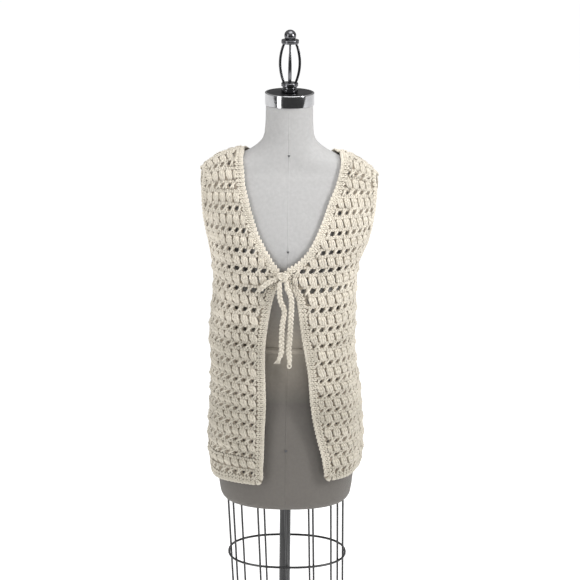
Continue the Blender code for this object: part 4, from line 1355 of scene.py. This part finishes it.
formLook = {
    "columns": 144, "stepTall": 0.006, "stepFine": 0.0022, "fineBelow": 0.662, "shoulders": (1.318, 1.40),
    "seam": 0.0011, "seamEnds": (0.645, 1.455), "seamLift": 0.0002, "seamThick": 0.0001,
    "waist": 0.970, "tapeWide": 0.0125, "tapeThick": 0.0006, "tapeLift": 0.0004,
    "markLift": 0.0007, "markThick": 0.0004, "markTip": 0.0002,
    "marks": ((1.366, 0.0026), (1.183, 0.0026), (0.764, 0.0034)),
}


def formRadius(height, angle):
    # the form's reach from its axis, where a level ray meets its facets
    out = Vector((math.sin(angle), -math.cos(angle), 0))
    found, _, _, _ = torsoTree.ray_cast(Vector((0, 0, height)), out)
    return found.xy.length if found else 0.0


def makeTorso():
    low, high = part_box("form_torso")
    heights = [low[2]]
    first, last = formLook["shoulders"]
    while heights[-1] < high[2] - 1e-6:
        fine = first < heights[-1] < last or heights[-1] < formLook["fineBelow"]
        heights.append(min(high[2], heights[-1] + formLook["stepFine" if fine else "stepTall"]))
    count = formLook["columns"]
    angles = [2 * math.pi * k / count for k in range(count)]
    inset = 2e-4
    inside = [min(max(z, low[2] + inset), high[2] - inset) for z in heights]
    reach = np.array([[formRadius(z, angle) for angle in angles] for z in inside])
    for _ in range(6):
        reach = 0.25 * np.roll(reach, 1, 1) + 0.5 * reach + 0.25 * np.roll(reach, -1, 1)
    for _ in range(3):
        reach[1:-1] = 0.2 * reach[:-2] + 0.6 * reach[1:-1] + 0.2 * reach[2:]
    points = []
    for row, z in zip(reach, heights):
        points += [(r * math.sin(angle), -r * math.cos(angle), z) for r, angle in zip(row, angles)]
    faces = []
    for i in range(len(heights) - 1):
        for j in range(count):
            a, b, step = i * count, (i + 1) * count, (j + 1) % count
            faces.append((a + j, a + step, b + step, b + j))
    for i, z in ((0, low[2]), (len(heights) - 1, high[2])):
        points.append((0, 0, z))
        faces += [(i * count + j, i * count + (j + 1) % count, len(points) - 1) for j in range(count)]
    piece = addPiece("formTorso", points, faces, linen)
    piece.data.set_sharp_from_angle(angle=math.radians(50))
    settle(piece, "linen", "form_torso")
    return heights


def ribbonOn(name, places, thick, material, slot):
    # a flat strip on the form: places are rows of left, middle and right points
    points = []
    for row in places:
        for lift in (thick, -thick):
            for point in row:
                out = Vector((point.x, point.y, 0)).normalized()
                points.append(point + out * lift)
    wide = len(places[0])
    loop = list(range(wide)) + [2 * wide - 1 - k for k in range(wide)]
    faces = []
    for i in range(len(places) - 1):
        a, b = 2 * wide * i, 2 * wide * (i + 1)
        for j in range(len(loop)):
            p, q = loop[j], loop[(j + 1) % len(loop)]
            faces.append((a + p, a + q, b + q, b + p))
    return settle(addPiece(name, points, faces, material), slot)


def onForm(angle, height, lift):
    reach = formRadius(height, angle) + lift
    return Vector((reach * math.sin(angle), -reach * math.cos(angle), height))


def makeFormDetails(heights):
    # the welted seam down the middle front and back
    low, high = formLook["seamEnds"]
    lift = formLook["seamLift"]
    for name, turn in (("frontSeam", 0.0), ("backSeam", math.pi)):
        rows = []
        for z in [z for z in heights if low < z < high][::2]:
            half = formLook["seam"] / max(0.04, formRadius(z, turn))
            rows.append([onForm(turn + side * half, z, lift * (1 - abs(side))) for side in (-1, 0, 1)])
        ribbonOn(name, rows, formLook["seamThick"], linen, "linen")
    # the waist tape
    wide, lift, count = formLook["tapeWide"], formLook["tapeLift"], formLook["columns"]
    low = formLook["waist"] - wide / 2
    rows = []
    for k in range(count + 1):
        turn = 2 * math.pi * k / count
        rows.append([onForm(turn, low + wide * part, lift) for part in (0.0, 0.5, 1.0)])
    points, faces = [], []
    for row in rows[:-1]:
        for point in row:
            out = Vector((point.x, point.y, 0)).normalized()
            points += [point + out * formLook["tapeThick"], point - out * formLook["tapeThick"]]
    for i in range(count):
        a, b = 6 * i, 6 * ((i + 1) % count)
        for p, q in ((0, 2), (2, 4), (4, 5), (5, 3), (3, 1), (1, 0)):
            faces.append((a + p, a + q, b + q, b + p))
    settle(addPiece("waistTape", points, faces, tape), "linen")
    # small stitched arrowheads at the neck, bust and hip
    for number, (height, half) in enumerate(formLook["marks"]):
        reach = formRadius(height, 0.0)
        rows = []
        for part in (0.0, 0.5, 1.0):
            width = half * (1 - part) + formLook["markTip"]
            z = height + half * 0.8 - part * half * 1.6
            rows.append([onForm(side * width / reach, z, formLook["markLift"]) for side in (-1, 0, 1)])
        ribbonOn(f"formMark{number + 1}", rows, formLook["markThick"], markPaint, "black_enamel")


makeFormDetails(makeTorso())
print("form padded")


def turnedPiece(name, profile, sides, material, slot, node):
    points, faces = [], []
    for radius, height in profile:
        for k in range(sides):
            turn = 2 * math.pi * k / sides
            points.append((radius * math.cos(turn), radius * math.sin(turn), height))
    for i in range(len(profile) - 1):
        for k in range(sides):
            a, b, step = i * sides, (i + 1) * sides, (k + 1) % sides
            faces.append((a + k, a + step, b + step, b + k))
    for i in (0, len(profile) - 1):
        points.append((0.0, 0.0, profile[i][1]))
        faces += [(i * sides + k, i * sides + (k + 1) % sides, len(points) - 1) for k in range(sides)]
    piece = addPiece(name, points, faces, material)
    piece.data.set_sharp_from_angle(angle=math.radians(35))
    return settle(piece, slot, node)


def arc(middle, radius, first, last, steps):
    # profile points round a corner, angles in degrees from outwards to upwards
    made = []
    for k in range(steps + 1):
        turn = math.radians(first + (last - first) * k / steps)
        made.append((middle[0] + radius * math.cos(turn), middle[1] + radius * math.sin(turn)))
    return made


# depth and height of the points of grooves and rims, in metres
capLook = {
    "edge": 0.0016, "foot": 0.0006, "rim": ((0.0040, 0.0), (0.0046, 0.0005), (0.0052, 0.0005)),
    "topFrom": 0.0035, "sides": 128,
}


def makeCap():
    low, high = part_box("form_neck_cap")
    radius, edge, foot = high[0], capLook["edge"], capLook["foot"]
    profile = [(radius - foot, low[2]), (radius, low[2] + foot)]
    profile += arc((radius - edge, high[2] - edge), edge, 0, 90, 6)
    profile += [(radius - inward, high[2] - sunk) for inward, sunk in capLook["rim"]]
    cap = turnedPiece("neckCap", profile, capLook["sides"], chrome, "chrome", "form_neck_cap")
    cap.data.materials.append(brushed)
    for face in cap.data.polygons:
        flat = all(abs(cap.data.vertices[v].co.z - high[2]) < 0.0007 for v in face.vertices)
        face.material_index = int(flat and face.center.xy.length < radius - capLook["topFrom"])


finialLook = {
    "footEdge": 0.0022, "headEdge": 0.0020, "sides": 72,
    "groove": ((0.0, 0.0066), (0.0026, 0.0082), (0.0030, 0.0096), (0.0026, 0.0110), (0.0, 0.0124)),
    "collarEdge": 0.0014, "collarGroove": ((0.0, -0.0006), (0.0005, 0.0), (0.0, 0.0006)),
    "ballSides": 64, "ballSunk": 0.62,
    "armFoot": 0.0145, "armBulge": 0.0080, "armBow": 0.8, "armWide": 0.0075,
    "armNarrow": 0.55, "armSwell": 0.45, "armWidest": 0.25, "armHalf": 0.00275,
    "armSteps": 32, "armSides": 16,
}


def makeHinge():
    low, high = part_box("finial_hinge_block")
    r, foot, head = high[0], finialLook["footEdge"], finialLook["headEdge"]
    profile = arc((r - foot, low[2] + foot), foot, -90, 0, 5)
    profile += [(r - inward, low[2] + rise) for inward, rise in finialLook["groove"]]
    profile += arc((r - head, high[2] - head), head, 0, 90, 5)
    turnedPiece("finialHinge", profile, finialLook["sides"], darkSteel, "dark_steel", "finial_hinge_block")


def makeCollar():
    low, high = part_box("finial_collar")
    r, edge, middle = high[0], finialLook["collarEdge"], (low[2] + high[2]) / 2
    profile = arc((r - edge, low[2] + edge), edge, -90, 0, 4)
    profile += [(r - inward, middle + rise) for inward, rise in finialLook["collarGroove"]]
    profile += arc((r - edge, high[2] - edge), edge, 0, 90, 4)
    turnedPiece("finialCollar", profile, finialLook["sides"], darkSteel, "dark_steel", "finial_collar")


def makeBall():
    low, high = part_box("finial_ball")
    r, sunk = high[0], finialLook["ballSunk"]
    profile = arc((0.0, low[2] + r * sunk), r, -math.degrees(math.asin(sunk)), 88, 26)
    turnedPiece("finialBall", profile, finialLook["ballSides"], darkSteel, "dark_steel", "finial_ball")


def makeArm(number):
    # a bowed strap: it leans out in the middle and is widest there
    node = f"finial_arm_{number + 1}"
    low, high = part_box(node)
    turn = math.pi / 2 * number
    steps, sides, half = finialLook["armSteps"], finialLook["armSides"], finialLook["armHalf"]
    points = []
    for k in range(steps + 1):
        u = k / steps
        bow = max(0.0, math.sin(math.pi * u)) ** finialLook["armBow"]
        swell = math.sin(math.pi * min(1.0, finialLook["armWidest"] + u)) ** finialLook["armBow"]
        reach = finialLook["armFoot"] + finialLook["armBulge"] * bow
        width = finialLook["armWide"] * (finialLook["armNarrow"] + finialLook["armSwell"] * swell)
        for j in range(sides):
            side = 2 * math.pi * j / sides
            across = width / 2 * float(signedPower(math.cos(side), 0.5))
            radius = reach - half + half * float(signedPower(math.sin(side), 0.5))
            x = radius * math.cos(turn) - across * math.sin(turn)
            y = radius * math.sin(turn) + across * math.cos(turn)
            points.append((x, y, low[2] + (high[2] - low[2]) * u))
    faces = []
    for i in range(steps):
        for j in range(sides):
            a, b, step = sides * i, sides * (i + 1), (j + 1) % sides
            faces.append((a + j, a + step, b + step, b + j))
    faces += [tuple(range(sides - 1, -1, -1)), tuple(range(sides * steps, sides * (steps + 1)))]
    piece = addPiece(f"finialArm{number + 1}", points, faces, darkSteel)
    piece.data.set_sharp_from_angle(angle=math.radians(50))
    settle(piece, "dark_steel", node)


standLook = {
    "baseTop": 0.012, "baseEdge": 0.004, "baseFoot": 0.0015,
    "coneInner": 0.028, "coneSteps": 12, "coneRise": 3, "baseSides": 192,
    "socketEdge": 0.003, "socketHole": 0.0120, "socketSunk": 0.0015, "sides": 72,
}


def makeStand():
    low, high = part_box("stand_base")
    r, top, edge, foot = high[0], standLook["baseTop"], standLook["baseEdge"], standLook["baseFoot"]
    profile = [(r - foot, low[2])] + arc((r - foot, foot), foot, -90, 0, 3)[1:]
    profile += arc((r - edge, top - edge), edge, 0, 90, 8)
    for k in range(1, standLook["coneSteps"] + 1):
        u = k / standLook["coneSteps"]
        inward = (r - edge - standLook["coneInner"]) * u
        profile.append((r - edge - inward, top + (high[2] - top) * u ** standLook["coneRise"]))
    turnedPiece("standBase", profile, standLook["baseSides"], blackEnamel, "black_enamel", "stand_base")
    low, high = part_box("stand_socket")
    r, edge, hole = high[0], standLook["socketEdge"], standLook["socketHole"]
    profile = [(r, low[2]), (r, high[2] - edge)] + arc((r - edge, high[2] - edge), edge, 0, 90, 5)
    profile += [(hole, high[2]), (hole, high[2] - standLook["socketSunk"])]
    turnedPiece("standSocket", profile, standLook["sides"], blackEnamel, "black_enamel", "stand_socket")
    low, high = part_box("stand_pole")
    profile = [(high[0], low[2]), (high[0], high[2])]
    turnedPiece("standPole", profile, standLook["sides"], blackEnamel, "black_enamel", "stand_pole")
    for name, node in frame["nodes"].items():
        if name.startswith("cage_"):
            node.data.materials.clear()
            node.data.materials.append(blackEnamel)


makeCap()
makeHinge()
makeCollar()
makeBall()
for number in range(4):
    makeArm(number)
makeStand()
print("hard parts turned")


roomLook = {
    "floor": (0.92, 0.92, 0.92, 1), "glow": 0.55, "front": -2.9, "wide": 26.0, "under": 0.0006,
    "sky": 0.55,
    # name, place, what it faces, width and height, power
    "lights": (
        ("key", (2.18, -1.10, 2.20), (0, 0, 1.25), (0.4, 1.3), 41.0),
        ("fill", (-1.75, -1.55, 1.60), (0, 0, 1.05), (0.7, 2.2), 18.0),
        ("top", (0.2, -0.5, 3.4), (0, 0, 1.1), (1.8, 1.4), 31.0),
    ),
}


def makeRoom():
    made, tree, shader, place = newMaterial("paleFloor")
    tone = addRange(tree, addNoise(tree, place, 3.0, 2.0), 0.3, 0.7, 0.0, 1.0)
    feed(tree, shader.inputs["Base Color"], addMix(tree, tone, roomLook["floor"], (0.95, 0.95, 0.95, 1)))
    shader.inputs["Roughness"].default_value = 0.9
    shader.inputs["Emission Color"].default_value = (1.0, 1.0, 1.0, 1)
    shader.inputs["Emission Strength"].default_value = roomLook["glow"]
    wide = roomLook["wide"]
    points = [(x, y, -roomLook["under"]) for x in (-wide, wide) for y in (roomLook["front"], wide)]
    addPiece("floor", points, [(0, 2, 3, 1)], made, False)


def makeSky():
    # soft daylight from above that dies away below the horizon
    world = bpy.data.worlds.new("softSky")
    world.use_nodes = True
    tree = world.node_tree
    split = tree.nodes.new("ShaderNodeSeparateXYZ")
    feed(tree, split.inputs[0], tree.nodes.new("ShaderNodeTexCoord").outputs["Generated"])
    up = addRange(tree, split.outputs[2], -0.05, 0.55)
    back = tree.nodes["Background"]
    feed(tree, back.inputs["Color"], addMix(tree, up, (0.10, 0.10, 0.10, 1), (1.0, 1.0, 1.0, 1)))
    back.inputs["Strength"].default_value = roomLook["sky"]
    scene.world = world


def addLight(name, place, target, size, power):
    data = bpy.data.lights.new(name, "AREA")
    data.shape = "RECTANGLE"
    data.size, data.size_y = size
    data.energy = power
    light = bpy.data.objects.new(name, data)
    light.location = place
    light.rotation_euler = (Vector(target) - Vector(place)).to_track_quat("-Z", "Y").to_euler()
    scene.collection.objects.link(light)


makeRoom()
for name, place, target, size, power in roomLook["lights"]:
    addLight(name, place, target, size, power)
makeSky()
scene.view_settings.view_transform = "Standard"

print("room lit")
